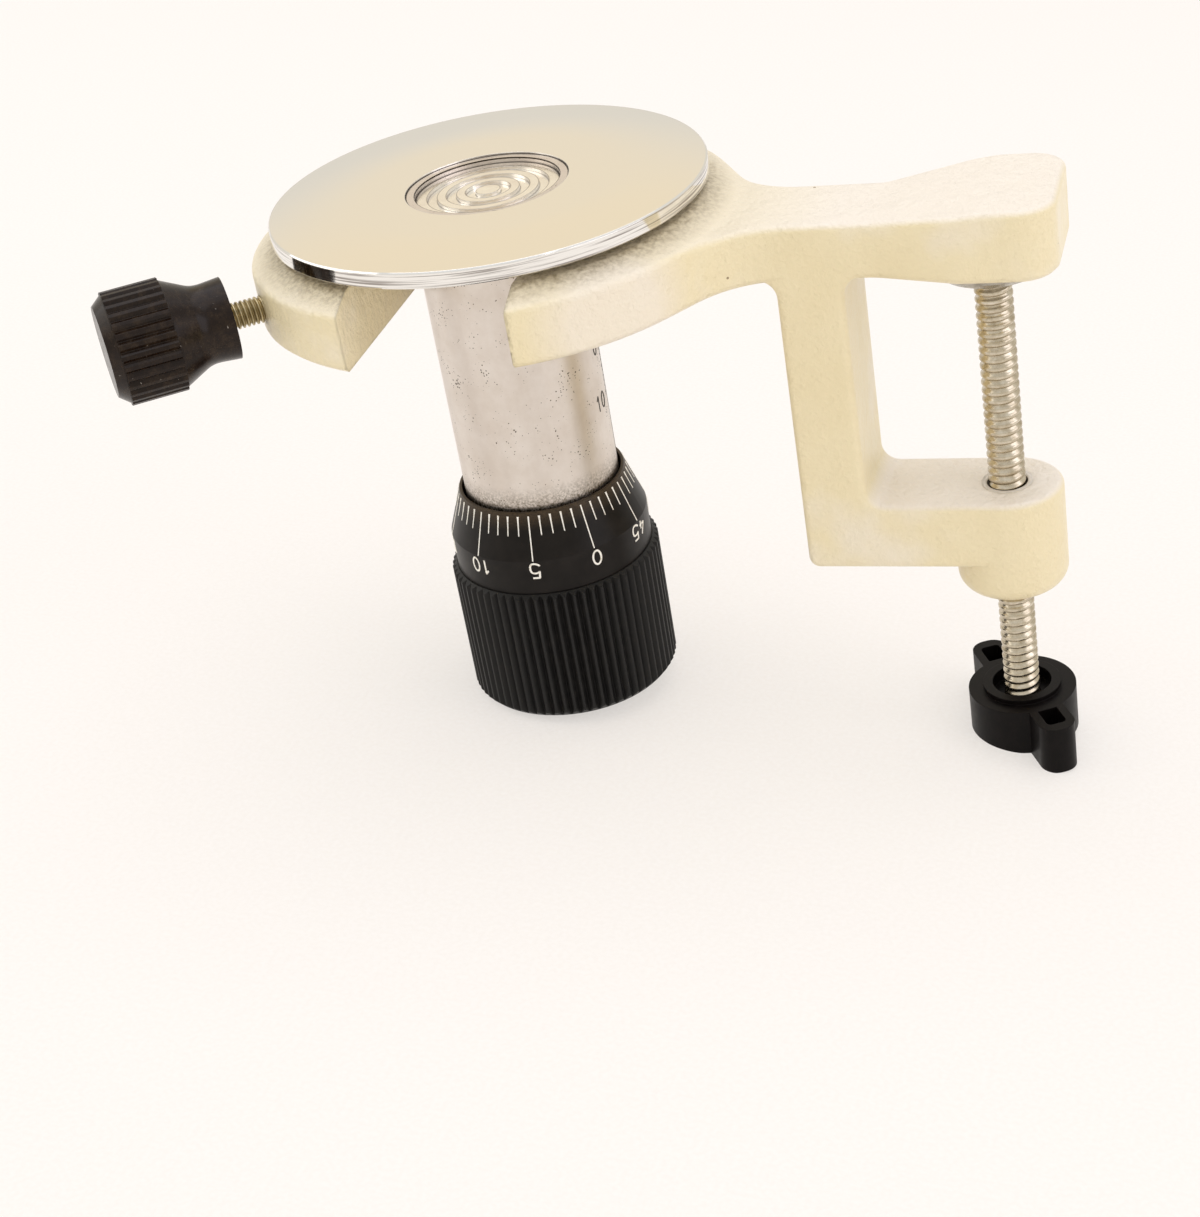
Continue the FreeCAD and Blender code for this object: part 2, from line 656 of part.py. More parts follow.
def make_drum_grip():
    """The ribbed grip: a cup over the sleeve's spigot, with a recess for the nut under its base."""
    body = new_body("drum_grip")
    spigot_foot = sleeve_bottom - spigot_length
    socket = spigot_radius + seat_gap
    core = grip_radius - rib_depth
    turn(body, "grip_turning", [
        (spindle_neck + seat_gap, recess_top),
        (base_recess_radius, recess_top),
        (base_recess_radius, grip_base),
        (core - 0.4, grip_base),
        (core, grip_base + 0.4),
        (core, sleeve_bottom - 0.2),
        (core - 0.2, sleeve_bottom),
        (socket, sleeve_bottom),
        (socket, spigot_foot),
        (grip_cavity, spigot_foot),
        (grip_cavity, floor_top),
        (spindle_neck + seat_gap, floor_top),
    ])
    # One rib: a sharp-topped bar whose ends are cut back by its side view.
    sketch = new_sketch(body, "rib_outline", "XY_Plane", grip_base)
    foot = core * math.pi / rib_count
    draw_outline(sketch, [
        (core - 0.4, -foot),
        (core, -foot),
        (grip_radius, -rib_crest / 2),
        (grip_radius, rib_crest / 2),
        (core, foot),
        (core - 0.4, foot),
    ])
    rib = pad(body, "rib", sketch, sleeve_bottom - grip_base)
    top = new_sketch(body, "rib_top_cut", "XZ_Plane")
    draw_outline(top, [
        (core - 0.1, sleeve_bottom),
        (grip_radius + 0.1, sleeve_bottom - grip_top_chamfer),
        (grip_radius + 0.1, sleeve_bottom + 1),
        (core - 0.1, sleeve_bottom + 1),
    ])
    top_cut = pocket(body, "rib_top", top, foot * 2, symmetric=True)
    base = new_sketch(body, "rib_base_cut", "XZ_Plane")
    draw_outline(base, [
        (core - 0.1, grip_base - 1),
        (grip_radius + 0.1, grip_base - 1),
        (grip_radius + 0.1, grip_base + grip_base_round),
        (core - 0.1, grip_base),
    ])
    base_cut = pocket(body, "rib_base", base, foot * 2, symmetric=True)
    pattern = repeat_round(body, "ribs", rib, rib_count)
    pattern.Originals = [rib, top_cut, base_cut]
    doc.recompute()


def make_drum_washer():
    body = new_body("drum_washer")
    turn(body, "washer_turning", [
        (spindle_neck + seat_gap, recess_top - washer_thickness),
        (washer_radius, recess_top - washer_thickness),
        (washer_radius, recess_top),
        (spindle_neck + seat_gap, recess_top),
    ])


def make_drum_nut():
    """The hexagon nut that holds the drum on the spindle."""
    body = new_body("drum_nut")
    bottom = recess_top - washer_thickness - nut_thickness
    sketch = new_sketch(body, "hexagon", "XY_Plane", bottom)
    across = nut_flats / 2
    corner = nut_flats / math.sqrt(3)
    draw_outline(sketch, [
        (corner, 0),
        (corner / 2, across),
        (-corner / 2, across),
        (-corner, 0),
        (-corner / 2, -across),
        (corner / 2, -across),
    ])
    pad(body, "blank", sketch, nut_thickness)
    hole = new_sketch(body, "hole_circle", "XY_Plane", bottom)
    draw_circle(hole, spindle_neck + seat_gap)
    pocket(body, "hole", hole, nut_thickness, reverse=True)


def make_clamp_bow():
    """The upright and the lower arm of the casting, with rounded edges, before they are joined to it."""
    bow = doc.addObject("PartDesign::Body", "clamp_bow")
    under = -head_bottom
    upright_far = upright_near + upright_width
    lower_bottom = -(lower_arm_top + lower_arm_depth)
    side = new_sketch(bow, "clamp_side", "XZ_Plane")
    draw_outline(side, [
        (upright_near, under - clamp_corner * 3),
        (upright_near, lower_bottom, cast_round * 1.6),
        (clamp_reach, lower_bottom),
        (clamp_reach, -lower_arm_top),
        (upright_far, -lower_arm_top, clamp_corner),
        (upright_far, under - clamp_corner * 3),
    ])
    pad(bow, "upright_and_lower_arm", side, arm_half * 2, symmetric=True)
    root = new_sketch(bow, "root_outline", "XZ_Plane")
    draw_spread_root(root, upright_near, upright_far, under)
    pad(bow, "root", root, arm_half * 2, symmetric=True)
    dress(bow, "PartDesign::Fillet", "bow_edges", cast_round, on_bow_flank)
    return bow


def on_bow_flank(edge):
    """Whether an edge runs along the outline of the bow, between its two ends."""
    box = edge.BoundBox
    level = box.YLength < 1e-3
    inside = box.XMax < clamp_reach.value + 1e-3 and box.ZMax < -head_bottom.value + 1e-3
    end_face = box.XLength < 1e-3 and abs(box.XMin - clamp_reach.value) < 1e-3
    return level and inside and not end_face


def make_clamp_frame():
    """The enamelled casting: fork head, arm with its jaw, upright, lower arm and threaded boss."""
    body = new_body("clamp_frame")
    under = -head_bottom
    shoulder = -shoulder_depth
    blank = head_top - under
    disc = new_sketch(body, "head_circle", "XY_Plane", under)
    draw_circle(disc, head_radius)
    pad(body, "head", disc, blank)

    # The arm's flanks leave the head's circle as tangents.
    touch_x = head_radius * neck_angle.cosine()
    touch_y = head_radius * neck_angle.sine()
    neck_x = (head_radius - arm_half * neck_angle.sine()) / neck_angle.cosine()
    half_plan = [
        (touch_x, touch_y),
        (neck_x, arm_half, neck_curve),
        (flare_start, arm_half, flare_curve),
        (flare_end, jaw_half, flare_curve),
        (jaw_end, jaw_half, jaw_corner),
    ]
    mirrored = [(corner[0], -as_size(corner[1]), *corner[2:]) for corner in reversed(half_plan)]
    plan = new_sketch(body, "arm_plan", "XY_Plane", under)
    draw_outline(plan, half_plan + mirrored)
    pad(body, "arm", plan, blank)

    top_line = new_sketch(body, "arm_top_line", "XZ_Plane")
    draw_outline(top_line, [
        (neck_cut, shoulder),
        (flare_start, shoulder, flare_curve),
        (ramp_high, -jaw_top, flare_curve),
        (jaw_end + 5, -jaw_top),
        (jaw_end + 5, head_top + 5),
        (neck_cut, head_top + 5),
    ])
    pocket(body, "arm_top", top_line, head_radius * 3, symmetric=True)

    slope = new_sketch(body, "shoulder_profile", "XZ_Plane")
    draw_outline(slope, [
        (seat_radius, head_top),
        (shoulder_foot, shoulder, shoulder_blend),
        (shoulder_reach, shoulder),
        (shoulder_reach, head_top + 3),
        (seat_radius, head_top + 3),
    ])
    groove(body, "shoulder_slope", slope)

    dress(body, "PartDesign::Fillet", "upper_edges", cast_round,
          lambda edge: on_rim(edge, body.Tip.Shape) and edge.BoundBox.ZMin > under.value + 1)
    dress(body, "PartDesign::Chamfer", "lower_edges", cast_chamfer,
          lambda edge: on_rim(edge, body.Tip.Shape) and edge.BoundBox.ZMax < under.value + 0.1)
    boolean = body.newObject("PartDesign::Boolean", "joined_bow")
    boolean.setObjects([make_clamp_bow()])
    boolean.Type = "Fuse"
    body.Tip = boolean
    doc.recompute()

    boss = new_sketch(body, "boss_profile", "XZ_Plane", across=clamp_reach)
    draw_outline(boss, [
        (0, -boss_bottom),
        (boss_radius, -boss_bottom, boss_round),
        (boss_radius, -lower_arm_top, cast_round),
        (0, -lower_arm_top),
    ])
    revolve(body, "boss", boss)

    slot = new_sketch(body, "fork_slot_round", "XY_Plane", under)
    draw_circle(slot, barrel_radius + slot_gap)
    pocket(body, "slot_round", slot, head_bottom, reverse=True)
    mouth = new_sketch(body, "fork_slot_mouth", "XY_Plane", under)
    half = barrel_radius + slot_gap
    draw_outline(mouth, [
        (-half, -head_radius - 5),
        (half, -head_radius - 5),
        (half, 0),
        (-half, 0),
    ])
    pocket(body, "slot_mouth", mouth, head_bottom, reverse=True)

    screw_hole = new_sketch(body, "clamp_hole_circle", "XY_Plane", -boss_bottom)
    draw_circle(screw_hole, clamp_screw_radius + running_gap, clamp_reach, 0)
    pocket(body, "clamp_hole", screw_hole, boss_bottom - lower_arm_top, reverse=True)
    mouth_radius = clamp_screw_radius + running_gap
    dress(body, "PartDesign::Chamfer", "clamp_hole_sink", countersink,
          lambda edge: level_circle(edge, mouth_radius, -lower_arm_top))

    drill = body.newObject("PartDesign::SubtractiveCylinder", "lock_hole")
    drill.AttachmentSupport = [(origin_feature(body, "XY_Plane"), "")]
    drill.MapMode = "FlatFace"
    axis = FreeCAD.Vector(lock_angle.sine().value, -lock_angle.cosine().value, 0)
    drill.AttachmentOffset = FreeCAD.Placement(
        FreeCAD.Vector(0, 0, -lock_depth.value), FreeCAD.Rotation(axis, 90))
    bind(drill, "AttachmentOffset.Base.z", -lock_depth)
    bind(drill, "AttachmentOffset.Rotation.Axis.x", lock_angle.sine())
    bind(drill, "AttachmentOffset.Rotation.Axis.y", -lock_angle.cosine())
    bind(drill, "Radius", lock_radius + running_gap)
    bind(drill, "Height", head_radius + 5)
    doc.recompute()


def make_clamp_pad():
    """The pressed steel pad that the clamp screw pushes up, with a recess for the peened head."""
    body = new_body("clamp_pad")
    top = -head_bottom - seat_gap
    bottom = top - pad_thickness
    hole = rivet_neck_radius + running_gap
    recess = rivet_head_radius + running_gap
    turn(body, "pad_turning", [
        (hole, bottom),
        (pad_radius - 0.9, bottom),
        (pad_radius, bottom + 0.9),
        (pad_radius, top),
        (recess, top),
        (recess, top - pad_recess_depth),
        (hole, top - pad_recess_depth),
    ])
    shift(body, clamp_reach)


def make_clamp_screw():
    """The clamp screw, whose neck passes through the pad to a peened head."""
    body = new_body("clamp_screw")
    pad_top = -head_bottom - seat_gap
    pad_bottom = pad_top - pad_thickness
    ledge = pad_top - pad_recess_depth
    tip = -knob_top - knob_height + 1.8
    turn(body, "screw_turning", [
        (0, pad_top - face_gap * 2),
        (rivet_head_radius, pad_top - face_gap * 2),
        (rivet_head_radius, ledge + face_gap),
        (rivet_neck_radius, ledge + face_gap),
        (rivet_neck_radius, pad_bottom - face_gap),
        (clamp_screw_radius, pad_bottom - face_gap),
        (clamp_screw_radius, tip),
        (0, tip),
    ])
    shift(body, clamp_reach)


def make_wing_knob():
    """The moulded knob: a round body with a collar, and two hollow wings set a little off centre."""
    body = new_body("wing_knob")
    bottom = -knob_top - knob_height
    turn(body, "knob_turning", [
        (0, bottom),
        (knob_radius - 0.5, bottom),
        (knob_radius, bottom + 0.5),
        (knob_radius, -knob_top),
        (collar_radius, -knob_top),
        (collar_radius, -knob_top + collar_height),
        (well_radius, -knob_top + collar_height),
        (well_radius, -knob_top + collar_height - well_depth),
        (clamp_screw_radius + seat_gap, -knob_top + collar_height - well_depth),
        (clamp_screw_radius + seat_gap, bottom + 1.7),
        (0, bottom + 1.7),
    ])
    well_rim = collar_radius + 0.6
    wing = new_sketch(body, "wing_outline", "XY_Plane", bottom)
    low, high = wing_offset - wing_half, wing_offset + wing_half
    draw_outline(wing, [
        (well_rim, low),
        (wing_reach, low, wing_half * 0.9),
        (wing_reach, high, wing_half * 0.9),
        (well_rim, high),
    ])
    solid_wing = pad(body, "wing", wing, knob_height)
    repeat_round(body, "wings", solid_wing, 2)
    hollow = new_sketch(body, "wing_hollow_outline", "XY_Plane", -knob_top)
    draw_outline(hollow, [
        (knob_radius, low + wing_wall),
        (wing_reach - wing_wall * 1.4, low + wing_wall, wing_half * 0.25),
        (wing_reach - wing_wall * 1.4, high - wing_wall, wing_half * 0.25),
        (knob_radius, high - wing_wall),
    ])
    cut = pocket(body, "wing_hollow", hollow, wing_pocket)
    repeat_round(body, "wing_hollows", cut, 2)
    turned = FreeCAD.Rotation(FreeCAD.Vector(0, 0, 1), wing_turn.value)
    body.Placement = FreeCAD.Placement(FreeCAD.Vector(clamp_reach.value, 0, 0), turned)
    bind(body, "Placement.Base.x", clamp_reach)
    bind(body, "Placement.Rotation.Angle", wing_turn)


def set_on_lock_axis(body):
    """Lay a body that is turned about its own Z along the lock screw's axis, outwards."""
    axis = FreeCAD.Vector(lock_angle.sine().value, -lock_angle.cosine().value, 0)
    body.Placement = FreeCAD.Placement(
        FreeCAD.Vector(0, 0, -lock_depth.value), FreeCAD.Rotation(axis, 90))
    bind(body, "Placement.Base.z", -lock_depth)
    bind(body, "Placement.Rotation.Axis.x", lock_angle.sine())
    bind(body, "Placement.Rotation.Axis.y", -lock_angle.cosine())


# Places along the lock screw's axis, measured outwards from the barrel's axis.
# At rest the pad stands wholly inside its hole, so that the barrel can slide past it.
slot_face = (barrel_radius + slot_gap) / lock_angle.cosine()
lock_pad_front = slot_face + lock_pad_radius * (lock_angle.sine() / lock_angle.cosine()) + face_gap
lock_pad_back = lock_pad_front + lock_pad_length
lock_screw_front = lock_pad_back + face_gap
side_knob_face = head_radius + lock_showing


def make_lock_pad():
    """The brass pad at the lock screw's tip, which presses on the barrel and doesn't turn."""
    body = new_body("lock_pad")
    turn(body, "pad_turning", [
        (0, lock_pad_front),
        (lock_pad_radius, lock_pad_front),
        (lock_pad_radius, lock_pad_back),
        (lock_tail_radius, lock_pad_back),
        (lock_tail_radius, lock_pad_back + lock_tail_length),
        (0, lock_pad_back + lock_tail_length),
    ])
    set_on_lock_axis(body)


def make_lock_screw():
    """The steel stud of the lock, drilled for the pad's tail and moulded into the side knob."""
    body = new_body("lock_screw")
    drilled = lock_tail_radius + running_gap
    floor = lock_pad_back + lock_tail_length + face_gap * 2
    end = side_knob_face + knob_bore_depth
    turn(body, "stud_turning", [
        (drilled, lock_screw_front),
        (lock_radius, lock_screw_front),
        (lock_radius, end),
        (0, end),
        (0, floor),
        (drilled, floor),
    ])
    set_on_lock_axis(body)


def make_side_knob():
    """The black knob of the lock: collar, neck, cone, ribbed grip and chamfered end."""
    body = new_body("side_knob")
    bore = lock_radius + seat_gap
    collar_end = side_knob_face + side_collar_length
    neck = collar_end + side_neck_length
    cone = neck + side_cone_length
    grip = cone + side_grip_length
    end = grip + side_end_length
    core = side_grip_radius - side_rib_height
    turn(body, "knob_turning", [
        (bore, side_knob_face),
        (side_collar_radius, side_knob_face),
        (side_neck_radius, collar_end, side_neck_curve),
        (side_neck_radius, neck, side_neck_curve),
        (core, cone),
        (core, grip),
        (side_end_radius, end),
        (0, end),
        (0, side_knob_face + knob_bore_depth + face_gap),
        (bore, side_knob_face + knob_bore_depth + face_gap),
    ])
    sketch = new_sketch(body, "rib_outline", "XY_Plane", cone + side_rib_inset)
    foot = core * math.pi / side_rib_count * 0.9
    draw_outline(sketch, [
        (core - 0.3, -foot),
        (core, -foot),
        (side_grip_radius, -foot * 0.4),
        (side_grip_radius, foot * 0.4),
        (core, foot),
        (core - 0.3, foot),
    ])
    rib = pad(body, "rib", sketch, side_grip_length - side_rib_inset * 2)
    repeat_round(body, "ribs", rib, side_rib_count)
    set_on_lock_axis(body)


make_cutting_plate()
make_barrel()
make_guide_screw()
make_plunger()
make_retainer()
make_retainer_screws()
make_feed_nut()
make_feed_spindle()
make_graduated_sleeve()
make_drum_grip()
make_drum_washer()
make_drum_nut()
make_clamp_frame()
make_clamp_pad()
make_clamp_screw()
make_wing_knob()
make_lock_pad()
make_lock_screw()
make_side_knob()
doc.recompute()

for item in doc.Objects:
    if "Invalid" in item.State or "Error" in item.State:
        raise RuntimeError(f"{item.Label} failed: {item.State}")
os.makedirs("parts", exist_ok=True)
for node in nodes:
    if node.Shape.isNull() or not node.Shape.isValid():
        raise RuntimeError(f"{node.Label} has no valid shape")
    node.Shape.exportStep(f"parts/{node.Label}.step")
    box = node.Shape.BoundBox
    print(f"{node.Label}: {len(node.Shape.Solids)} solids, {node.Shape.Volume:.1f} mm3, "
          f"x {box.XMin:.2f} {box.XMax:.2f} y {box.YMin:.2f} {box.YMax:.2f} z {box.ZMin:.2f} {box.ZMax:.2f}")
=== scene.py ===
# %% [markdown]
# # A hand microtome in Blender
# The real thing cuts thin slices of soft material. A polished plate is the cutting table, an
# aluminium barrel holds the sample, and a graduated drum pushes it up by hundredths of a
# millimetre. A cream enamelled casting holds the barrel in a fork and clamps it to a table.
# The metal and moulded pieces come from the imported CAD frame. This lesson adds the camera, the
# light, the finishes, and what a CAD model leaves plain: screw threads, graduations, numerals.

# %% Load the frame
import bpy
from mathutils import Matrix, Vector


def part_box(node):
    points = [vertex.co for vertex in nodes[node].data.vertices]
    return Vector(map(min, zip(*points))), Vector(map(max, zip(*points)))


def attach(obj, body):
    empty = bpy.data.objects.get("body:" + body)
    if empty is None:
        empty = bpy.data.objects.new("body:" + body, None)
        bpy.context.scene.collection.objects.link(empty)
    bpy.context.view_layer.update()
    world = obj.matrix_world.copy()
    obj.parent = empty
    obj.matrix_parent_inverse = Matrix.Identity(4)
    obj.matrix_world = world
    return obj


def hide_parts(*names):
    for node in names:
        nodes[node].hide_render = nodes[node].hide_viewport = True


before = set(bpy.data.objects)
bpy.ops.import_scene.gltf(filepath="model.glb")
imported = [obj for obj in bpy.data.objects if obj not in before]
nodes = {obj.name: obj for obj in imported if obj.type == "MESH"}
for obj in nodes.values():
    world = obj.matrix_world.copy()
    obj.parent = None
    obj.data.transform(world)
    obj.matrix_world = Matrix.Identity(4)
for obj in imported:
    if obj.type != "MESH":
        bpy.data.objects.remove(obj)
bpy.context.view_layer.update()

import math

import bmesh
import bpy
from mathutils import Euler, Matrix, Vector

MM = 0.001

# %% [markdown]
# ## Small helpers for materials
# Every finish below is a tree of nodes. One function adds a node, sets its values, its links
# and the stops of a colour ramp, so that each tree reads as a list. Colours are written as
# sRGB hex, as a painter would pick them from a screen, and turned to the linear values that
# the renderer mixes. The coordinates are counted in millimetres, so a size in a finish is a
# size on the real object.

# %% Colour and node helpers
def paint(code):
    """Linear RGBA from an sRGB hex colour."""
    channels = [int(code[i:i + 2], 16) / 255 for i in (0, 2, 4)]
    linear = [c / 12.92 if c <= 0.04045 else ((c + 0.055) / 1.055) ** 2.4 for c in channels]
    return (*linear, 1.0)


def add(tree, kind, inputs=None, stops=(), **settings):
    """Add a node. Each input takes another node's output or a plain value. Settings are the
    node's own attributes, or inputs by name."""
    node = tree.nodes.new(kind)
    for index, (position, code) in enumerate(stops):
        points = node.color_ramp.elements
        point = points[index] if index < 2 else points.new(position)
        point.position, point.color = position, paint(code)
    for key, value in settings.items():
        if hasattr(node, key):
            setattr(node, key, value)
        else:
            node.inputs[key.replace("_", " ")].default_value = value
    for socket, source in (inputs or {}).items():
        if isinstance(source, bpy.types.NodeSocket):
            tree.links.new(source, node.inputs[socket])
        else:
            node.inputs[socket].default_value = source
    return node


def start_finish(name):
    """A material with a Principled shader, and coordinates counted in millimetres."""
    finish = bpy.data.materials.new(name)
    finish.use_nodes = True
    tree = finish.node_tree
    shader = tree.nodes["Principled BSDF"]
    place = add(tree, "ShaderNodeTexCoord")
    scale = add(tree, "ShaderNodeVectorMath", {0: place.outputs["Object"]}, operation="SCALE",
                Scale=1 / MM)
    return finish, tree, shader, scale.outputs["Vector"]


def distance_from_axis(tree, mm):
    """Distance from the barrel's axis."""
    flat = add(tree, "ShaderNodeVectorMath", {0: mm, 1: (1, 1, 0)}, operation="MULTIPLY")
    reach = add(tree, "ShaderNodeVectorMath", {0: flat.outputs["Vector"]}, operation="LENGTH")
    return reach.outputs["Value"]


def give_relief(tree, shader, height, strength, depth, corner, samples=4):
    """Raise the surface by a height, and soften its corners. Both sizes are in millimetres."""
    edge = add(tree, "ShaderNodeBevel", Radius=corner * MM, samples=samples)
    relief = add(tree, "ShaderNodeBump", {"Height": height, "Normal": edge.outputs["Normal"]},
                 Strength=strength, Distance=depth * MM)
    tree.links.new(relief.outputs["Normal"], shader.inputs["Normal"])


print("white paper is", [round(c, 3) for c in paint("F4F1EA")])

# %% [markdown]
# ## Camera
# The viewing point was found by fitting the plate's circle, the barrel and the casting to the
# photograph: the camera stands 40 centimetres away, 20 degrees above the plate and a little to
# the right of the fork's slot. It is level with the table, so it looks rolled against the
# barrel, because the microtome stands on the low side of its drum and on the wing knob.

# %% Camera
CAMERA_PLACE = (136.375, -347.442, 131.140)
CAMERA_TURN = (59.4518, 8.8097, 15.3306)
CAMERA_LENS = 68.19

lens = bpy.data.cameras.new("camera")
lens.lens, lens.sensor_width, lens.sensor_fit = CAMERA_LENS, 36.0, "AUTO"
lens.clip_start, lens.clip_end = 0.01, 20.0
camera = bpy.data.objects.new("camera", lens)
camera.location = Vector(CAMERA_PLACE) * MM
camera.rotation_euler = Euler([math.radians(angle) for angle in CAMERA_TURN], "XYZ")
bpy.context.scene.collection.objects.link(camera)
bpy.context.scene.camera = camera
print("camera stands", round(Vector(CAMERA_PLACE).length), "mm from the plate's centre")

# %% [markdown]
# ## Floor
# Three points carry the microtome: the tips of the knob's two wings, and one point of the
# drum's rim. The floor is the plane through them. Of all the planes that hold both wing tips,
# the right one leaves the whole drum above it, so the script tries each point of the drum.

# %% Find the plane the microtome stands on
SAME_HEIGHT = 0.05 * MM
DRUM_FOOT = -90 * MM
FLOOR_GAP = 0.02 * MM

knob_points = [v.co.copy() for v in nodes["wing_knob"].data.vertices]
knob_foot = min(p.z for p in knob_points)
feet = [p for p in knob_points if p.z < knob_foot + SAME_HEIGHT]
left_tip, right_tip = min(feet, key=lambda p: p.y), max(feet, key=lambda p: p.y)
drum_points = [v.co.copy() for v in nodes["drum_grip"].data.vertices]


def plane_through(point):
    """Upward normal of the plane through both wing tips and a point."""
    up = (right_tip - left_tip).cross(point - left_tip).normalized()
    return up if up.z > 0 else -up


floor_up = max((plane_through(p) for p in drum_points if p.z < DRUM_FOOT),
               key=lambda up: min((p - left_tip).dot(up) for p in drum_points))
print("the floor leans", round(math.degrees(floor_up.angle(Vector((0, 0, 1)))), 2), "degrees")

# %% [markdown]
# ## The sheet it stands on
# A large pale sheet with a very fine tooth, like foam. A white background comes from its colour,
# not from more light: what the camera and the polished metal see of it is partly a plain
# white, and the rest still takes the object's soft shadow. Its back is clear, so that the
# underside of the microtome can be looked at.

# %% Floor
SHEET_TOOTH = 0.8
SHEET_RADIUS = 2.5
WHITE_SHARE = 0.6
finish, tree, shader, mm = start_finish("pale_foam_sheet")
tooth = add(tree, "ShaderNodeTexNoise", {"Vector": mm}, Scale=1 / SHEET_TOOTH, Detail=3.0)
shader.inputs["Base Color"].default_value = paint("F7F2EC")
shader.inputs["Roughness"].default_value = 0.85
shader.inputs["Specular IOR Level"].default_value = 0.2
relief = add(tree, "ShaderNodeBump", {"Height": tooth.outputs["Fac"]}, Strength=0.25,
             Distance=0.15 * MM)
tree.links.new(relief.outputs["Normal"], shader.inputs["Normal"])
grain = add(tree, "ShaderNodeValToRGB", {0: tooth.outputs["Fac"]},
            stops=[(0.35, "FAF5F0"), (0.65, "FEFAF6")]).outputs["Color"]
white = add(tree, "ShaderNodeEmission", {"Color": grain})
ray = add(tree, "ShaderNodeLightPath")
seen = add(tree, "ShaderNodeMath",
           {0: ray.outputs["Is Camera Ray"], 1: ray.outputs["Is Glossy Ray"]}, operation="MAXIMUM")
seen = add(tree, "ShaderNodeMath",
           {0: seen.outputs["Value"], 1: ray.outputs["Is Transmission Ray"]}, operation="MAXIMUM")
share = add(tree, "ShaderNodeMath", {0: seen.outputs["Value"], 1: WHITE_SHARE},
            operation="MULTIPLY")
lit = add(tree, "ShaderNodeMixShader",
          {0: share.outputs["Value"], 1: shader.outputs["BSDF"], 2: white.outputs["Emission"]})
side = add(tree, "ShaderNodeNewGeometry")
clear = add(tree, "ShaderNodeBsdfTransparent")
both = add(tree, "ShaderNodeMixShader",
           {0: side.outputs["Backfacing"], 1: lit.outputs["Shader"], 2: clear.outputs["BSDF"]})
tree.links.new(both.outputs["Shader"], tree.nodes["Material Output"].inputs["Surface"])

mesh = bpy.data.meshes.new("floor")
shape = bmesh.new()
bmesh.ops.create_circle(shape, cap_ends=True, segments=64, radius=SHEET_RADIUS)
shape.to_mesh(mesh)
shape.free()
mesh.materials.append(finish)
floor = bpy.data.objects.new("floor", mesh)
floor.rotation_mode = "QUATERNION"
floor.rotation_quaternion = Vector((0, 0, 1)).rotation_difference(floor_up)
floor.location = left_tip - floor_up * FLOOR_GAP
bpy.context.scene.collection.objects.link(floor)
print("floor laid at", [round(c / MM, 1) for c in floor.location])

# %% [markdown]
# ## Light
# The photograph was taken in a pale room by daylight: soft light from above and from both
# sides, and a warm wall at the back that the polished plate mirrors. The world is that room,
# and three large lamps stand in for its ceiling and windows. The warm wall is there for
# mirrored rays alone.

# %% World and lamps
FAR_WALL = Vector((-0.316, 0.806, 0.5)).normalized()
FAR_WALL_EDGE, FAR_WALL_CORE = 18, 6
MIDDLE = Vector((0.03, 0, -0.06))

world = bpy.data.worlds.new("pale_room")
world.use_nodes = True
bpy.context.scene.world = world
tree = world.node_tree
tree.nodes.clear()
direction = add(tree, "ShaderNodeTexCoord")
height = add(tree, "ShaderNodeSeparateXYZ", {0: direction.outputs["Generated"]})
ramp = add(tree, "ShaderNodeMapRange", {"Value": height.outputs["Z"]}, From_Min=-1.0, From_Max=1.0,
           To_Min=0.0, To_Max=1.0)
walls = add(tree, "ShaderNodeValToRGB", {0: ramp.outputs["Result"]},
            stops=[(0.35, "F4EFE6"), (0.60, "F8F2E6"), (0.95, "FFFFFF")]).outputs["Color"]
facing = add(tree, "ShaderNodeVectorMath", {0: direction.outputs["Generated"], 1: FAR_WALL},
             operation="DOT_PRODUCT")
warmth = add(tree, "ShaderNodeMapRange", {"Value": facing.outputs["Value"]},
             interpolation_type="SMOOTHSTEP", From_Min=math.cos(math.radians(FAR_WALL_EDGE)),
             From_Max=math.cos(math.radians(FAR_WALL_CORE)))
ray = add(tree, "ShaderNodeLightPath")
mirrored = add(tree, "ShaderNodeMath",
               {0: warmth.outputs["Result"], 1: ray.outputs["Is Glossy Ray"]}, operation="MULTIPLY")
colour = add(tree, "ShaderNodeMix",
             {"Factor": mirrored.outputs["Value"], 6: walls, 7: paint("F6E7CB")}, data_type="RGBA")
level = add(tree, "ShaderNodeMapRange", {"Value": mirrored.outputs["Value"]}, To_Min=0.84,
            To_Max=1.02)
room = add(tree, "ShaderNodeBackground",
           {"Color": colour.outputs[2], "Strength": level.outputs["Result"]})
add(tree, "ShaderNodeOutputWorld", {"Surface": room.outputs["Background"]})


def lamp(name, place, size, watts, colour):
    """A large square lamp that looks at the middle of the microtome."""
    light = bpy.data.lights.new(name, "AREA")
    light.shape, light.size, light.energy = "SQUARE", size, watts
    light.color = paint(colour)[:3]
    thing = bpy.data.objects.new(name, light)
    thing.location = Vector(place)
    aim = MIDDLE - thing.location
    thing.rotation_euler = aim.to_track_quat("-Z", "Y").to_euler()
    bpy.context.scene.collection.objects.link(thing)


lamp("ceiling", (0.05, 0.25, 1.1), size=1.3, watts=5.2, colour="FAF7FF")
lamp("left_window", (-1.0, -0.1, 0.5), size=0.9, watts=2.3, colour="FFFCF8")
lamp("right_window", (1.1, -0.25, 0.4), size=0.9, watts=3.1, colour="F3F0FF")
bpy.context.scene.view_settings.view_transform = "Standard"
print("lit by a pale room and three lamps")

# %% [markdown]
# ## Finish: chromium plate
# The cutting plate is steel, ground flat, plated with chromium and buffed to a mirror. What
# the eye sees is the room in it, a little blurred, with hairlines from years of use. Buffing
# rolls the surface off towards the rim, so the edge mirrors a brighter part of the room than
# the middle does. The rim itself keeps the rings of the lathe tool.

# %% Chromium-plated steel, buffed
PLATE_RADIUS, ROLL_START = 37.5, 22.0


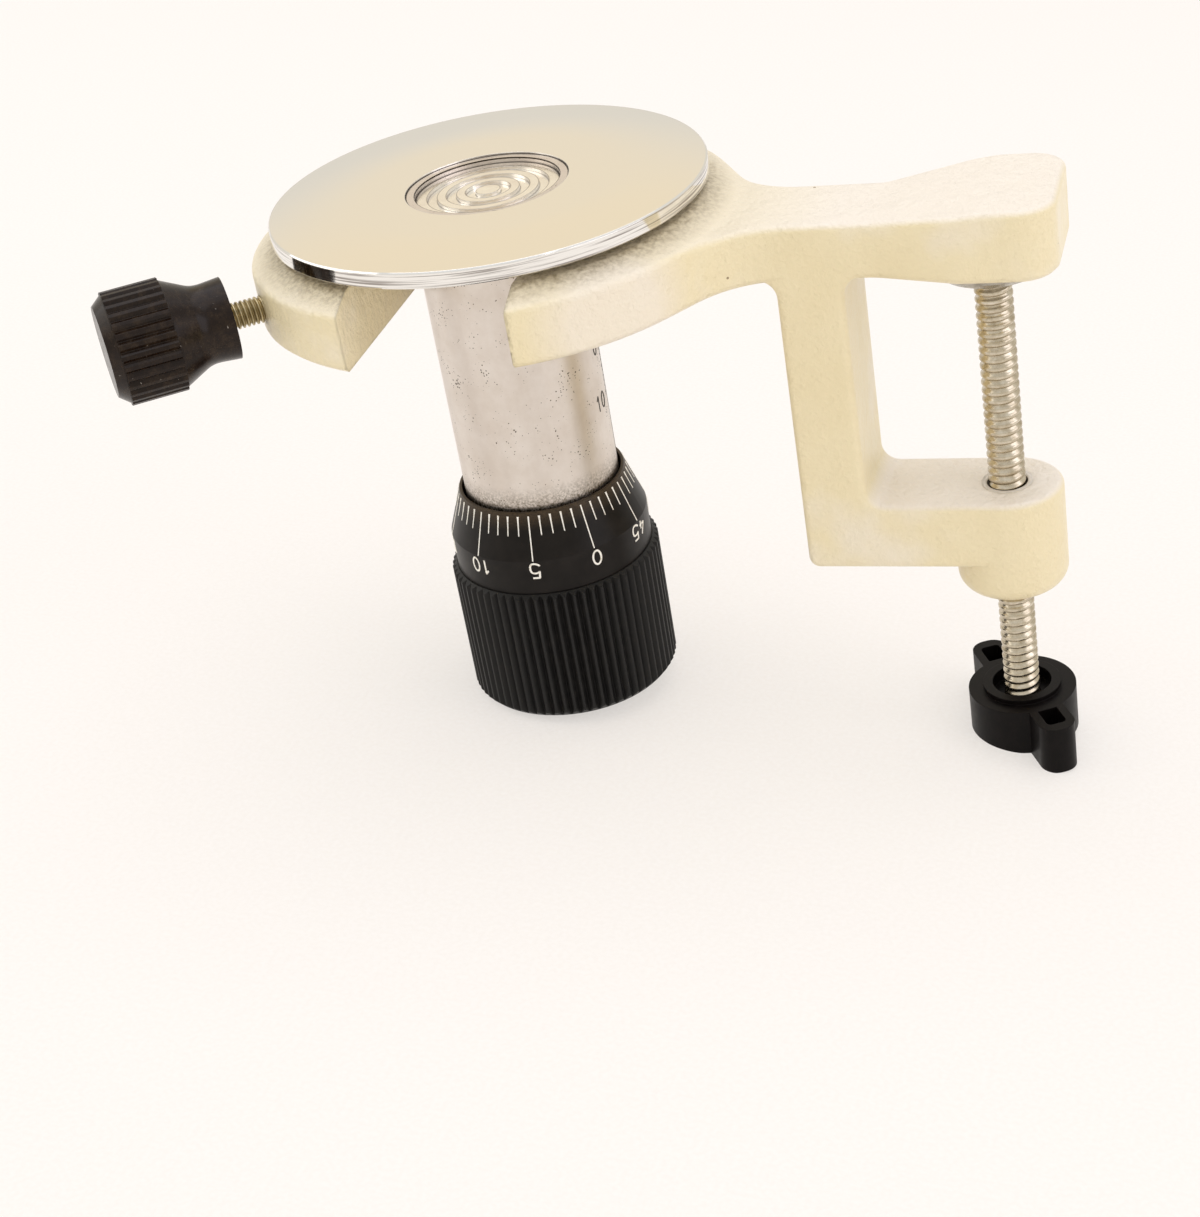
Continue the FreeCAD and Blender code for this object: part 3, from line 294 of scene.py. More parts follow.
def chromium_plate():
    finish, tree, shader, mm = start_finish("chromium_plate_buffed")
    shader.inputs["Metallic"].default_value = 1.0
    grooves = add(tree, "ShaderNodeMapping", {"Vector": mm}, Scale=(0.06, 0.06, 4.0))
    scored = add(tree, "ShaderNodeTexNoise", {"Vector": grooves.outputs["Vector"]}, Scale=1.0,
                 Detail=4.0)
    facing = add(tree, "ShaderNodeNewGeometry")
    upright = add(tree, "ShaderNodeSeparateXYZ", {0: facing.outputs["True Normal"]})
    wall = add(tree, "ShaderNodeMath", {0: upright.outputs["Z"]}, operation="ABSOLUTE")
    wall = add(tree, "ShaderNodeMapRange", {"Value": wall.outputs["Value"]}, From_Min=0.1,
               From_Max=0.6, To_Min=1.0, To_Max=0.0)
    wear = add(tree, "ShaderNodeValToRGB", {0: scored.outputs["Fac"]},
               stops=[(0.36, "A09A95"), (0.52, "F1EFEB")]).outputs["Color"]
    metal = add(tree, "ShaderNodeMix",
                {"Factor": wall.outputs["Result"], 6: paint("F1EFEB"), 7: wear}, data_type="RGBA")
    tree.links.new(metal.outputs[2], shader.inputs["Base Color"])
    stretch = add(tree, "ShaderNodeMapping", {"Vector": mm}, Rotation=(0, 0, 0.5),
                  Scale=(0.08, 6.0, 1.0))
    hairline = add(tree, "ShaderNodeTexNoise", {"Vector": stretch.outputs["Vector"]}, Scale=1.0,
                   Detail=3.0)
    haze = add(tree, "ShaderNodeTexNoise", {"Vector": mm}, Scale=0.06, Detail=3.0)
    blur = add(tree, "ShaderNodeMapRange", {"Value": haze.outputs["Fac"]}, From_Min=0.3,
               From_Max=0.7, To_Min=0.05, To_Max=0.11)
    tree.links.new(blur.outputs["Result"], shader.inputs["Roughness"])
    edge = add(tree, "ShaderNodeBevel", Radius=0.2 * MM, samples=4)
    reach = distance_from_axis(tree, mm)
    outer = add(tree, "ShaderNodeMapRange", {"Value": reach}, From_Min=ROLL_START,
                From_Max=PLATE_RADIUS)
    rolled = add(tree, "ShaderNodeMath", {0: outer.outputs["Result"], 1: 2.0}, operation="POWER")
    roll = add(tree, "ShaderNodeBump",
               {"Height": rolled.outputs["Value"], "Normal": edge.outputs["Normal"]}, Strength=1.0,
               Distance=0.6 * MM, invert=True)
    relief = add(tree, "ShaderNodeBump",
                 {"Height": hairline.outputs["Fac"], "Normal": roll.outputs["Normal"]},
                 Strength=0.06, Distance=0.01 * MM)
    tree.links.new(relief.outputs["Normal"], shader.inputs["Normal"])
    return finish


# %% [markdown]
# ## Finish: turned aluminium
# The barrel and the plunger are turned from bar and left bare. Fine turning marks run round
# them, and years of use have left tiny dark pits. The corners of the plunger's turned rings
# carry thin darker lines. Painted shade darkens the gap where the plunger meets the barrel and
# the barrel's top edges under the plate, and above the drum a brown band is partly a film of
# grease and partly painted shade where the barrel enters the sleeve.

# %% Turned aluminium, aged
BARREL_RADIUS = 14.0
RING_MIDDLES, RING_WIDTH = (3.0, 6.3, 9.6), 1.7
BORE_RADIUS = max(v.co.xy.length for v in nodes["plunger"].data.vertices) / MM + 0.05
MOUTH_DEPTH, LIP_DEPTH = 2.0, 0.55
# Heights of the band above the drum, partly painted shade where the barrel meets the sleeve and
# partly a film of grease, and of its lower fade.
SHADE_AND_FILM_LOW, SHADE_AND_FILM_HIGH = -56.5, -51.0
FADE_LOW, FADE_HIGH = -61.0, -57.0
# Colour of the painted shade in the gap between plunger and barrel, and under the plate.
GAP_SHADE = "4A423B"


def turned_aluminium(name, light, dark, faced=False):
    """Bare turned aluminium. Turning marks ring the Z axis: along a tube, or across a face."""
    finish, tree, shader, mm = start_finish(name)
    shader.inputs["Metallic"].default_value = 1.0
    reach = distance_from_axis(tree, mm)
    if faced:
        rows = add(tree, "ShaderNodeCombineXYZ", {2: reach})
    else:
        rows = add(tree, "ShaderNodeMapping", {"Vector": mm}, Scale=(0.05, 0.05, 1.0))
    turning = add(tree, "ShaderNodeTexNoise", {"Vector": rows.outputs["Vector"]}, Scale=3.0,
                  Detail=4.0)
    cloud = add(tree, "ShaderNodeTexNoise", {"Vector": mm}, Scale=0.16, Detail=6.0, Roughness=0.7)
    tone = add(tree, "ShaderNodeValToRGB", {0: cloud.outputs["Fac"]},
               stops=[(0.35, dark), (0.65, light)]).outputs["Color"]
    if not faced:
        lengthwise = add(tree, "ShaderNodeMapping", {"Vector": mm}, Scale=(0.2, 0.2, 0.012))
        bands = add(tree, "ShaderNodeTexNoise", {"Vector": lengthwise.outputs["Vector"]}, Scale=1.0,
                    Detail=3.0)
        band = add(tree, "ShaderNodeMapRange", {"Value": bands.outputs["Fac"]}, From_Min=0.42,
                   From_Max=0.7, To_Min=0.0, To_Max=0.16)
        banded = add(tree, "ShaderNodeMix",
                     {"Factor": band.outputs["Result"], 6: tone, 7: paint("B4AAA2")},
                     data_type="RGBA")
        tone = banded.outputs[2]
    cells = add(tree, "ShaderNodeTexVoronoi", {"Vector": mm}, Scale=1.9, Randomness=1.0)
    patch = add(tree, "ShaderNodeTexNoise", {"Vector": mm}, Scale=0.22, Detail=5.0, Roughness=0.8)
    pit_size = add(tree, "ShaderNodeMapRange", {"Value": patch.outputs["Fac"]}, From_Min=0.46,
                   From_Max=0.78, To_Min=0.0, To_Max=0.04 if faced else 0.5)
    pit = add(tree, "ShaderNodeMath", {0: cells.outputs["Distance"], 1: pit_size.outputs["Result"]},
              operation="LESS_THAN")
    dirty = add(tree, "ShaderNodeMix",
                {"Factor": pit.outputs["Value"], 6: tone, 7: paint("5E544A")}, data_type="RGBA")
    colour = dirty.outputs[2]
    if faced:
        # Thin darker lines at the corners of the turned rings, on faces that look up.
        corners = [middle + side * RING_WIDTH / 2 for middle in RING_MIDDLES for side in (-1, 1)]
        rings = add(tree, "ShaderNodeMath", {0: reach, 1: BORE_RADIUS}, operation="DIVIDE")
        profile = ((-0.20, "FFFFFF"), (-0.05, "9C938A"), (0.05, "9C938A"), (0.20, "FFFFFF"))
        lines = [((corner + step) / BORE_RADIUS, code)
                 for corner in corners for step, code in profile]
        ring_corner_lines = add(tree, "ShaderNodeValToRGB", {0: rings.outputs["Value"]}, stops=lines)
        facing = add(tree, "ShaderNodeNewGeometry")
        facing = add(tree, "ShaderNodeSeparateXYZ", {0: facing.outputs["True Normal"]})
        level = add(tree, "ShaderNodeMapRange", {"Value": facing.outputs["Z"]}, From_Min=0.3,
                    From_Max=0.7, To_Min=0.0, To_Max=0.8)
        ringed = add(tree, "ShaderNodeMix",
                     {"Factor": level.outputs["Result"], 6: colour, 7: ring_corner_lines.outputs["Color"]},
                     data_type="RGBA", blend_type="MULTIPLY")
        colour = ringed.outputs[2]
        # Painted shade in the gap: the plunger darkens towards the edge of the bore.
        bore_edge = add(tree, "ShaderNodeMapRange", {"Value": reach}, From_Min=BORE_RADIUS - 0.45,
                    From_Max=BORE_RADIUS - 0.2)
        gap_shaded = add(tree, "ShaderNodeMix",
                         {"Factor": bore_edge.outputs["Result"], 6: colour, 7: paint(GAP_SHADE)},
                         data_type="RGBA")
        colour = gap_shaded.outputs[2]
    else:
        split = add(tree, "ShaderNodeSeparateXYZ", {0: mm})
        # Painted shade: the barrel's inner lip by the plunger and its outer edge under the plate
        # are darkened.
        top = add(tree, "ShaderNodeMath", {0: split.outputs["Z"], 1: -MOUTH_DEPTH},
                  operation="GREATER_THAN")
        lip = add(tree, "ShaderNodeMath", {0: split.outputs["Z"], 1: -LIP_DEPTH},
                  operation="GREATER_THAN")
        inner = add(tree, "ShaderNodeMath", {0: reach, 1: BORE_RADIUS + 0.08},
                    operation="LESS_THAN")
        inner = add(tree, "ShaderNodeMath", {0: inner.outputs["Value"], 1: lip.outputs["Value"]},
                    operation="MULTIPLY")
        outer = add(tree, "ShaderNodeMath", {0: reach, 1: BARREL_RADIUS - 0.22},
                    operation="GREATER_THAN")
        gap = add(tree, "ShaderNodeMath", {0: inner.outputs["Value"], 1: outer.outputs["Value"]},
                  operation="MAXIMUM")
        gap = add(tree, "ShaderNodeMath", {0: gap.outputs["Value"], 1: top.outputs["Value"]},
                  operation="MULTIPLY")
        gap_shaded = add(tree, "ShaderNodeMix",
                         {"Factor": gap.outputs["Value"], 6: colour, 7: paint(GAP_SHADE)},
                         data_type="RGBA")
        colour = gap_shaded.outputs[2]
        # Above the drum, a brown band that is partly a film of grease and partly painted shade
        # where the barrel enters the sleeve; it fades out lower down and is broken up by spatter.
        shade_and_film = add(tree, "ShaderNodeMapRange", {"Value": split.outputs["Z"]}, From_Min=SHADE_AND_FILM_LOW,
                   From_Max=SHADE_AND_FILM_HIGH, To_Min=1.2, To_Max=0.0)
        lower_fade = add(tree, "ShaderNodeMapRange", {"Value": split.outputs["Z"]}, From_Min=FADE_LOW,
                    From_Max=FADE_HIGH, To_Min=0.1, To_Max=1.0)
        shade_and_film = add(tree, "ShaderNodeMath", {0: shade_and_film.outputs["Result"], 1: lower_fade.outputs["Result"]},
                   operation="MULTIPLY")
        spatter = add(tree, "ShaderNodeTexNoise", {"Vector": mm}, Scale=2.4, Detail=4.0,
                      Roughness=0.7)
        spatter = add(tree, "ShaderNodeMapRange", {"Value": spatter.outputs["Fac"]}, From_Min=0.38,
                      From_Max=0.62)
        shade_and_film_broken = add(tree, "ShaderNodeMath",
                         {0: shade_and_film.outputs["Value"], 1: spatter.outputs["Result"]},
                         operation="MULTIPLY", use_clamp=True)
        shaded_and_greasy = add(tree, "ShaderNodeMix",
                     {"Factor": shade_and_film_broken.outputs["Value"], 6: colour, 7: paint("5F543F")},
                     data_type="RGBA")
        colour = shaded_and_greasy.outputs[2]
    tree.links.new(colour, shader.inputs["Base Color"])
    rough = add(tree, "ShaderNodeMapRange", {"Value": cloud.outputs["Fac"]}, From_Min=0.3,
                From_Max=0.7, To_Min=0.26 if faced else 0.42, To_Max=0.20 if faced else 0.34)
    tree.links.new(rough.outputs["Result"], shader.inputs["Roughness"])
    height = add(tree, "ShaderNodeMath", {0: turning.outputs["Fac"], 1: pit.outputs["Value"]},
                 operation="SUBTRACT")
    give_relief(tree, shader, height.outputs["Value"], strength=0.25, depth=0.02, corner=0.12)
    return finish


# %% [markdown]
# ## Finish: steel, zinc and brass
# The small turned pieces share one recipe: a metal with fine marks and a cloudy roughness.
# Bright zinc plate is paler and blotchier than bare steel, and brass is warm and a little dull.

# %% Small metals
def small_metal(name, light, dark, shine):
    """A small turned piece. Shine is its lowest roughness."""
    finish, tree, shader, mm = start_finish(name)
    shader.inputs["Metallic"].default_value = 1.0
    cloud = add(tree, "ShaderNodeTexNoise", {"Vector": mm}, Scale=0.7, Detail=5.0, Roughness=0.6)
    tone = add(tree, "ShaderNodeValToRGB", {0: cloud.outputs["Fac"]},
               stops=[(0.22, dark), (0.72, light)]).outputs["Color"]
    tree.links.new(tone, shader.inputs["Base Color"])
    rough = add(tree, "ShaderNodeMapRange", {"Value": cloud.outputs["Fac"]}, From_Min=0.3,
                From_Max=0.7, To_Min=shine + 0.10, To_Max=shine)
    tree.links.new(rough.outputs["Result"], shader.inputs["Roughness"])
    grain = add(tree, "ShaderNodeTexNoise", {"Vector": mm}, Scale=5.0, Detail=2.0)
    give_relief(tree, shader, grain.outputs["Fac"], strength=0.12, depth=0.02, corner=0.1)
    return finish


# %% [markdown]
# ## Finish: black anodised aluminium
# The graduated sleeve is turned aluminium, dyed black as it is anodised. It has a soft sheen
# and very fine turning marks, and dust has stuck to the grease at its rim.

# %% Black anodised aluminium
RIM_DUST_LOW, RIM_DUST_HIGH = -58.5, -55.6


def black_anodised():
    finish, tree, shader, mm = start_finish("black_anodised_aluminium")
    cloud = add(tree, "ShaderNodeTexNoise", {"Vector": mm}, Scale=0.35, Detail=4.0)
    tone = add(tree, "ShaderNodeValToRGB", {0: cloud.outputs["Fac"]},
               stops=[(0.35, "110D0A"), (0.70, "1A1613")]).outputs["Color"]
    split = add(tree, "ShaderNodeSeparateXYZ", {0: mm})
    rim = add(tree, "ShaderNodeMapRange", {"Value": split.outputs["Z"]}, From_Min=RIM_DUST_LOW,
              From_Max=RIM_DUST_HIGH, To_Min=0.0, To_Max=0.38)
    specks = add(tree, "ShaderNodeTexNoise", {"Vector": mm}, Scale=3.0, Detail=3.0)
    dust = add(tree, "ShaderNodeMath", {0: specks.outputs["Fac"], 1: rim.outputs["Result"]},
               operation="MULTIPLY")
    dusted = add(tree, "ShaderNodeMix",
                 {"Factor": dust.outputs["Value"], 6: tone, 7: paint("8A7458")}, data_type="RGBA")
    tree.links.new(dusted.outputs[2], shader.inputs["Base Color"])
    shader.inputs["Roughness"].default_value = 0.36
    shader.inputs["Specular IOR Level"].default_value = 0.18
    rows = add(tree, "ShaderNodeMapping", {"Vector": mm}, Scale=(0.05, 0.05, 5.0))
    turning = add(tree, "ShaderNodeTexNoise", {"Vector": rows.outputs["Vector"]}, Scale=1.0,
                  Detail=3.0)
    give_relief(tree, shader, turning.outputs["Fac"], strength=0.2, depth=0.02, corner=0.15)
    return finish


# %% [markdown]
# ## Finish: black mouldings
# The drum's grip and the wing knob are moulded from a black plastic with a dull skin. The
# side knob is an older, harder phenolic moulding that shines, with fine scratches.

# %% Moulded plastics
def black_moulding(name, colour, dusty, roughness, gloss, grain_size, grain_height,
                   scratched=False):
    """A moulded skin with a fine grain, whose size and height are in millimetres."""
    finish, tree, shader, mm = start_finish(name)
    cloud = add(tree, "ShaderNodeTexNoise", {"Vector": mm}, Scale=0.5, Detail=5.0, Roughness=0.7)
    tone = add(tree, "ShaderNodeValToRGB", {0: cloud.outputs["Fac"]},
               stops=[(0.45, colour), (0.75, dusty)]).outputs["Color"]
    if scratched:
        long_way = add(tree, "ShaderNodeMapping", {"Vector": mm}, Rotation=(0.4, 0.2, 0.6),
                       Scale=(0.5, 5.0, 1.2))
        marks = add(tree, "ShaderNodeTexNoise", {"Vector": long_way.outputs["Vector"]}, Scale=1.0,
                    Detail=2.0)
        mark = add(tree, "ShaderNodeMapRange", {"Value": marks.outputs["Fac"]}, From_Min=0.745,
                   From_Max=0.79)
        marked = add(tree, "ShaderNodeMix",
                     {"Factor": mark.outputs["Result"], 6: tone, 7: paint("A39D95")},
                     data_type="RGBA")
        tone = marked.outputs[2]
    tree.links.new(tone, shader.inputs["Base Color"])
    rough = add(tree, "ShaderNodeMapRange", {"Value": cloud.outputs["Fac"]}, From_Min=0.3,
                From_Max=0.7, To_Min=roughness - 0.05, To_Max=roughness + 0.07)
    tree.links.new(rough.outputs["Result"], shader.inputs["Roughness"])
    shader.inputs["Specular IOR Level"].default_value = gloss
    grain = add(tree, "ShaderNodeTexNoise", {"Vector": mm}, Scale=1 / grain_size, Detail=2.0)
    give_relief(tree, shader, grain.outputs["Fac"], strength=0.4, depth=grain_height, corner=0.2)
    return finish


# %% [markdown]
# ## Finish: stove enamel on a casting
# The fork is cast iron under a thick cream enamel. The paint has the orange-peel skin of a
# sprayed and baked coat: shallow bumps a millimetre or so across, over a slower waviness of
# the casting, with pin-head chips that have gone brown. Faces that look up and lie out along
# the arm, and a spot on one prong's side, carry a painted highlight in a paler cream. The other
# sides show the enamel's own warmer cream, and beside the plate a painted shadow lies in the
# wrinkles.

# %% Cream stove enamel
# Reach from the axis over which the painted highlight on upward faces grows to full.
PAINTED_LIGHT_FROM, PAINTED_LIGHT_TO = 38.0, 60.0
# Reach from the axis over which the painted shadow beside the plate fades out.
PLATE_SHADOW_INNER, PLATE_SHADOW_OUTER = 36.5, 41.5
# Centre of a painted highlight on one prong's side, standing in for light from the right.
HIGHLIGHT_SPOT = (30, -31, -12)


def cream_enamel():
    finish, tree, shader, mm = start_finish("cream_stove_enamel")
    cloud = add(tree, "ShaderNodeTexNoise", {"Vector": mm}, Scale=0.05, Detail=3.0)
    yellowed = add(tree, "ShaderNodeValToRGB", {0: cloud.outputs["Fac"]},
                   stops=[(0.32, "EDDFB8"), (0.54, "EFE2BD"), (0.70, "F1E7D0")])
    # Painted highlight: faces that look up and lie out along the arm, and a spot on one prong's
    # side, are mixed towards a paler cream that stands in for the light falling on them.
    facing = add(tree, "ShaderNodeNewGeometry")
    upright = add(tree, "ShaderNodeSeparateXYZ", {0: facing.outputs["Normal"]})
    reach = distance_from_axis(tree, mm)
    outside = add(tree, "ShaderNodeMapRange", {"Value": reach}, From_Min=PAINTED_LIGHT_FROM,
                  From_Max=PAINTED_LIGHT_TO, To_Min=0.35, To_Max=1.0)
    painted_light = add(tree, "ShaderNodeMapRange", {"Value": upright.outputs["Z"]}, From_Min=0.35,
                   From_Max=0.95)
    painted_light = add(tree, "ShaderNodeMath",
                   {0: painted_light.outputs["Result"], 1: outside.outputs["Result"]},
                   operation="MULTIPLY")
    beside = add(tree, "ShaderNodeVectorMath", {0: mm, 1: HIGHLIGHT_SPOT}, operation="DISTANCE")
    spot_highlight = add(tree, "ShaderNodeMapRange", {"Value": beside.outputs["Value"]}, From_Min=8.0,
                      From_Max=16.0, To_Min=0.75, To_Max=0.0)
    painted_light = add(tree, "ShaderNodeMath",
                   {0: painted_light.outputs["Value"], 1: spot_highlight.outputs["Result"]},
                   operation="MAXIMUM")
    painted_highlight = add(tree, "ShaderNodeMix",
                   {"Factor": painted_light.outputs["Value"], 6: yellowed.outputs["Color"],
                    7: paint("F2E9DB")}, data_type="RGBA")
    # Painted shadow of the plate: faces that look up, just outside its rim, are mixed towards a
    # darker brown, broken up by the paint's wrinkles.
    near = add(tree, "ShaderNodeMapRange", {"Value": reach}, From_Min=PLATE_SHADOW_INNER,
               From_Max=PLATE_SHADOW_OUTER, To_Min=0.85, To_Max=0.0)
    level = add(tree, "ShaderNodeMapRange", {"Value": upright.outputs["Z"]}, From_Min=0.5,
                From_Max=0.9)
    creases = add(tree, "ShaderNodeTexNoise", {"Vector": mm}, Scale=1.1, Detail=4.0, Roughness=0.6)
    crease = add(tree, "ShaderNodeMapRange", {"Value": creases.outputs["Fac"]}, From_Min=0.35,
                 From_Max=0.6, To_Min=1.0, To_Max=0.38)
    plate_shadow = add(tree, "ShaderNodeMath", {0: near.outputs["Result"], 1: crease.outputs["Result"]},
                 operation="MULTIPLY")
    plate_shadow = add(tree, "ShaderNodeMath", {0: plate_shadow.outputs["Value"], 1: level.outputs["Result"]},
                 operation="MULTIPLY")
    plate_shadowed = add(tree, "ShaderNodeMix",
                {"Factor": plate_shadow.outputs["Value"], 6: painted_highlight.outputs[2], 7: paint("8C7A58")},
                data_type="RGBA")
    tone = plate_shadowed.outputs[2]
    cells = add(tree, "ShaderNodeTexVoronoi", {"Vector": mm}, Scale=0.12, Randomness=1.0)
    chip = add(tree, "ShaderNodeMath", {0: cells.outputs["Distance"], 1: 0.03},
               operation="LESS_THAN")
    chipped = add(tree, "ShaderNodeMix",
                  {"Factor": chip.outputs["Value"], 6: tone, 7: paint("9A8766")}, data_type="RGBA")
    tree.links.new(chipped.outputs[2], shader.inputs["Base Color"])
    shader.inputs["Roughness"].default_value = 0.36
    shader.inputs["Coat Weight"].default_value = 0.15
    shader.inputs["Coat Roughness"].default_value = 0.2
    peel = add(tree, "ShaderNodeTexNoise", {"Vector": mm}, Scale=0.95, Detail=4.0, Roughness=0.6)
    wave = add(tree, "ShaderNodeTexNoise", {"Vector": mm}, Scale=0.14, Detail=2.0)
    height = add(tree, "ShaderNodeMath", {0: wave.outputs["Fac"], 1: 2.0, 2: peel.outputs["Fac"]},
                 operation="MULTIPLY_ADD")
    give_relief(tree, shader, height.outputs["Value"], strength=1.0, depth=0.45, corner=1.3,
                samples=8)
    return finish


# %% [markdown]
# ## Paint in the engraved lines
# Graduations are cut with a small round cutter and wiped full of paint, white on the sleeve
# and black on the barrel. The paint is dull and a little uneven.

# %% Filler paint
def filler_paint(name, colour, worn):
    finish, tree, shader, mm = start_finish(name)
    wear = add(tree, "ShaderNodeTexNoise", {"Vector": mm}, Scale=2.2, Detail=3.0)
    tone = add(tree, "ShaderNodeValToRGB", {0: wear.outputs["Fac"]},
               stops=[(0.32, worn), (0.44, colour)]).outputs["Color"]
    tree.links.new(tone, shader.inputs["Base Color"])
    shader.inputs["Roughness"].default_value = 0.6
    relief = add(tree, "ShaderNodeBump", {"Height": wear.outputs["Fac"]}, Strength=0.3,
                 Distance=0.03 * MM)
    tree.links.new(relief.outputs["Normal"], shader.inputs["Normal"])
    return finish


# %% [markdown]
# ## Dress the CAD pieces
# Each piece of the frame keeps its own shape and takes its finish.

# %% Give every node its finish
chrome = chromium_plate()
barrel_metal = turned_aluminium("turned_aluminium_aged", "E1D9D1", "D8CEC4")
plunger_metal = turned_aluminium("faced_aluminium", "FCFAF5", "F0EAE2", faced=True)
steel = small_metal("turned_steel", "B9B5AD", "8F8A81", shine=0.24)
zinc = small_metal("bright_zinc_plate", "DDD4C2", "A99B80", shine=0.20)
passivated = small_metal("yellow_passivated_steel", "CDBE98", "8F8160", shine=0.26)
worn_zinc = small_metal("worn_zinc_plate", "C3BEB3", "8B8477", shine=0.22)
brass = small_metal("turned_brass", "D2AE66", "A9884A", shine=0.26)
anodised = black_anodised()
grip_plastic = black_moulding("moulded_grip_plastic", "0C0B0A", "191715", roughness=0.46,
                              gloss=0.30, grain_size=0.35, grain_height=0.02)
knob_plastic = black_moulding("moulded_knob_plastic", "0B0807", "151010", roughness=0.38,
                              gloss=0.12, grain_size=0.5, grain_height=0.02)
phenolic = black_moulding("moulded_phenolic_polished", "1A0F08", "34271A", roughness=0.24,
                          gloss=0.22, grain_size=0.6, grain_height=0.015, scratched=True)
enamel = cream_enamel()
white_paint = filler_paint("white_filler_paint", "FFFDF6", "D8D0C0")
black_paint = filler_paint("black_filler_paint", "26221E", "4C463F")

finishes = {
    "cutting_plate": chrome,
    "barrel": barrel_metal,
    "guide_screw": steel,
    "plunger": plunger_metal,
    "retaining_plate": brass,
    "retainer_screws": steel,
    "feed_nut": brass,
    "feed_spindle": steel,
    "graduated_sleeve": anodised,
    "drum_grip": grip_plastic,
    "drum_washer": steel,
    "drum_nut": steel,
    "clamp_frame": enamel,
    "clamp_pad": worn_zinc,
    "clamp_screw": zinc,
    "wing_knob": knob_plastic,
    "lock_pad": brass,
    "lock_screw": passivated,
    "side_knob": phenolic,
}
for name, node in nodes.items():
    node.data.materials.clear()
    node.data.materials.append(finishes[name])
print("dressed", len(finishes), "nodes")

# %% [markdown]
# ## Screw threads
# A thread is one profile wound up a helix. Each row of points climbs one pitch per turn, so
# the end of a row meets the start of the row one profile further on, and the surface closes
# on itself. The rows run past both ends and are then cut off flat, as a die and a saw do it.

# %% Wind a thread
# One pitch of the profile: share of the pitch, and share of the way from root to crest.
THREAD_PROFILE = [(0.00, 0.0), (0.10, 0.0), (0.30, 0.78), (0.43, 1.0), (0.67, 1.0), (0.80, 0.78)]
SHARP_ANGLE = 60


def wind_thread(shape, crest, root, pitch, low, high, steps):
    """Add a right-handed thread about Z to a mesh, from low to high."""
    turns = math.ceil((high - low) / pitch) + 3
    count = len(THREAD_PROFILE)
    rows = []
    for turn_index in range(turns):
        for phase, lift in THREAD_PROFILE:
            start = low + (turn_index - 2 + phase) * pitch
            radius = root + (crest - root) * lift
            row = []
            for step in range(steps):
                angle = 2 * math.pi * step / steps
                spot = (radius * math.cos(angle), radius * math.sin(angle),
                        start + pitch * step / steps)
                row.append(shape.verts.new(spot))
            rows.append(row)
    for index in range(len(rows) - count - 1):
        lower = rows[index] + [rows[index + count][0]]
        upper = rows[index + 1] + [rows[index + 1 + count][0]]
        for step in range(steps):
            shape.faces.new((lower[step], lower[step + 1], upper[step + 1], upper[step]))
    bmesh.ops.delete(shape, geom=[v for v in shape.verts if not v.link_faces], context="VERTS")
    for height, side in ((low, -1), (high, 1)):
        everything = shape.verts[:] + shape.edges[:] + shape.faces[:]
        bmesh.ops.bisect_plane(shape, geom=everything, plane_co=(0, 0, height),
                               plane_no=(0, 0, side), clear_outer=True)
        rim = [e for e in shape.edges if e.is_boundary and abs(e.verts[0].co.z - height) < 1e-7]
        bmesh.ops.contextual_create(shape, geom=rim)


def lathe(shape, outline, steps):
    """Add a turned solid: an outline of (radius, height) points from axis to axis."""
    rings = []
    for radius, height in outline:
        if radius == 0:
            rings.append([shape.verts.new((0, 0, height))] * steps)
            continue
        angles = [2 * math.pi * i / steps for i in range(steps)]
        rings.append([shape.verts.new((radius * math.cos(a), radius * math.sin(a), height))
                      for a in angles])
    for first, second in zip(rings, rings[1:]):
        for i in range(steps):
            j = (i + 1) % steps
            corners = list(dict.fromkeys((first[i], first[j], second[j], second[i])))
            shape.faces.new(corners)


def make_piece(name, shape, finish, place, body):
    """Turn a mesh into a piece that rides on a body. Edges stay sharp above SHARP_ANGLE."""
    bmesh.ops.recalc_face_normals(shape, faces=shape.faces[:])
    mesh = bpy.data.meshes.new(name)
    shape.to_mesh(mesh)
    shape.free()
    mesh.transform(place)
    mesh.materials.append(finish)
    mesh.polygons.foreach_set("use_smooth", [True] * len(mesh.polygons))
    mesh.set_sharp_from_angle(angle=math.radians(SHARP_ANGLE))
    piece = bpy.data.objects.new(name, mesh)
    bpy.context.scene.collection.objects.link(piece)
    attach(piece, body)
    print(name, "has", len(mesh.polygons), "faces")
    return piece


# %% [markdown]
# ## Clamp screw
# A coarse rolled thread of 1.5 mm pitch, zinc plated. Its upper end is necked down, passes
# through the pad and is peened over into a flat head, so the pad can stay still on the table
# while the screw turns.

# %% Clamp screw
CLAMP_AXIS = 83.5
CLAMP_CREST, CLAMP_ROOT, CLAMP_PITCH = 3.15 * MM, 2.6 * MM, 1.5 * MM
low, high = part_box("clamp_screw")
pad_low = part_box("clamp_pad")[0]
screw_top = pad_low.z - 0.1 * MM
shape = bmesh.new()
wind_thread(shape, CLAMP_CREST, CLAMP_ROOT, CLAMP_PITCH, low.z, screw_top, steps=40)
lathe(shape, [
    (0, screw_top - 0.5 * MM),
    (2.2 * MM, screw_top - 0.5 * MM),
    (2.2 * MM, high.z - 1.1 * MM),
    (3.3 * MM, high.z - 1.1 * MM),
    (3.4 * MM, high.z - 0.9 * MM),
    (3.3 * MM, high.z - 0.35 * MM),
    (2.5 * MM, high.z),
    (0, high.z),
], steps=32)
clamp_place = Matrix.Translation((CLAMP_AXIS * MM, 0, 0))
clamp_thread = make_piece("clamp_screw_threaded", shape, zinc, clamp_place, "clamp_screw")
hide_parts("clamp_screw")

# %% [markdown]
# ## Lock screw
# A 4.6 mm steel stud, moulded into the side knob. Eight or nine turns of its fine thread show
# between the knob and the casting. It lies level, 35 degrees round from the arm's line.

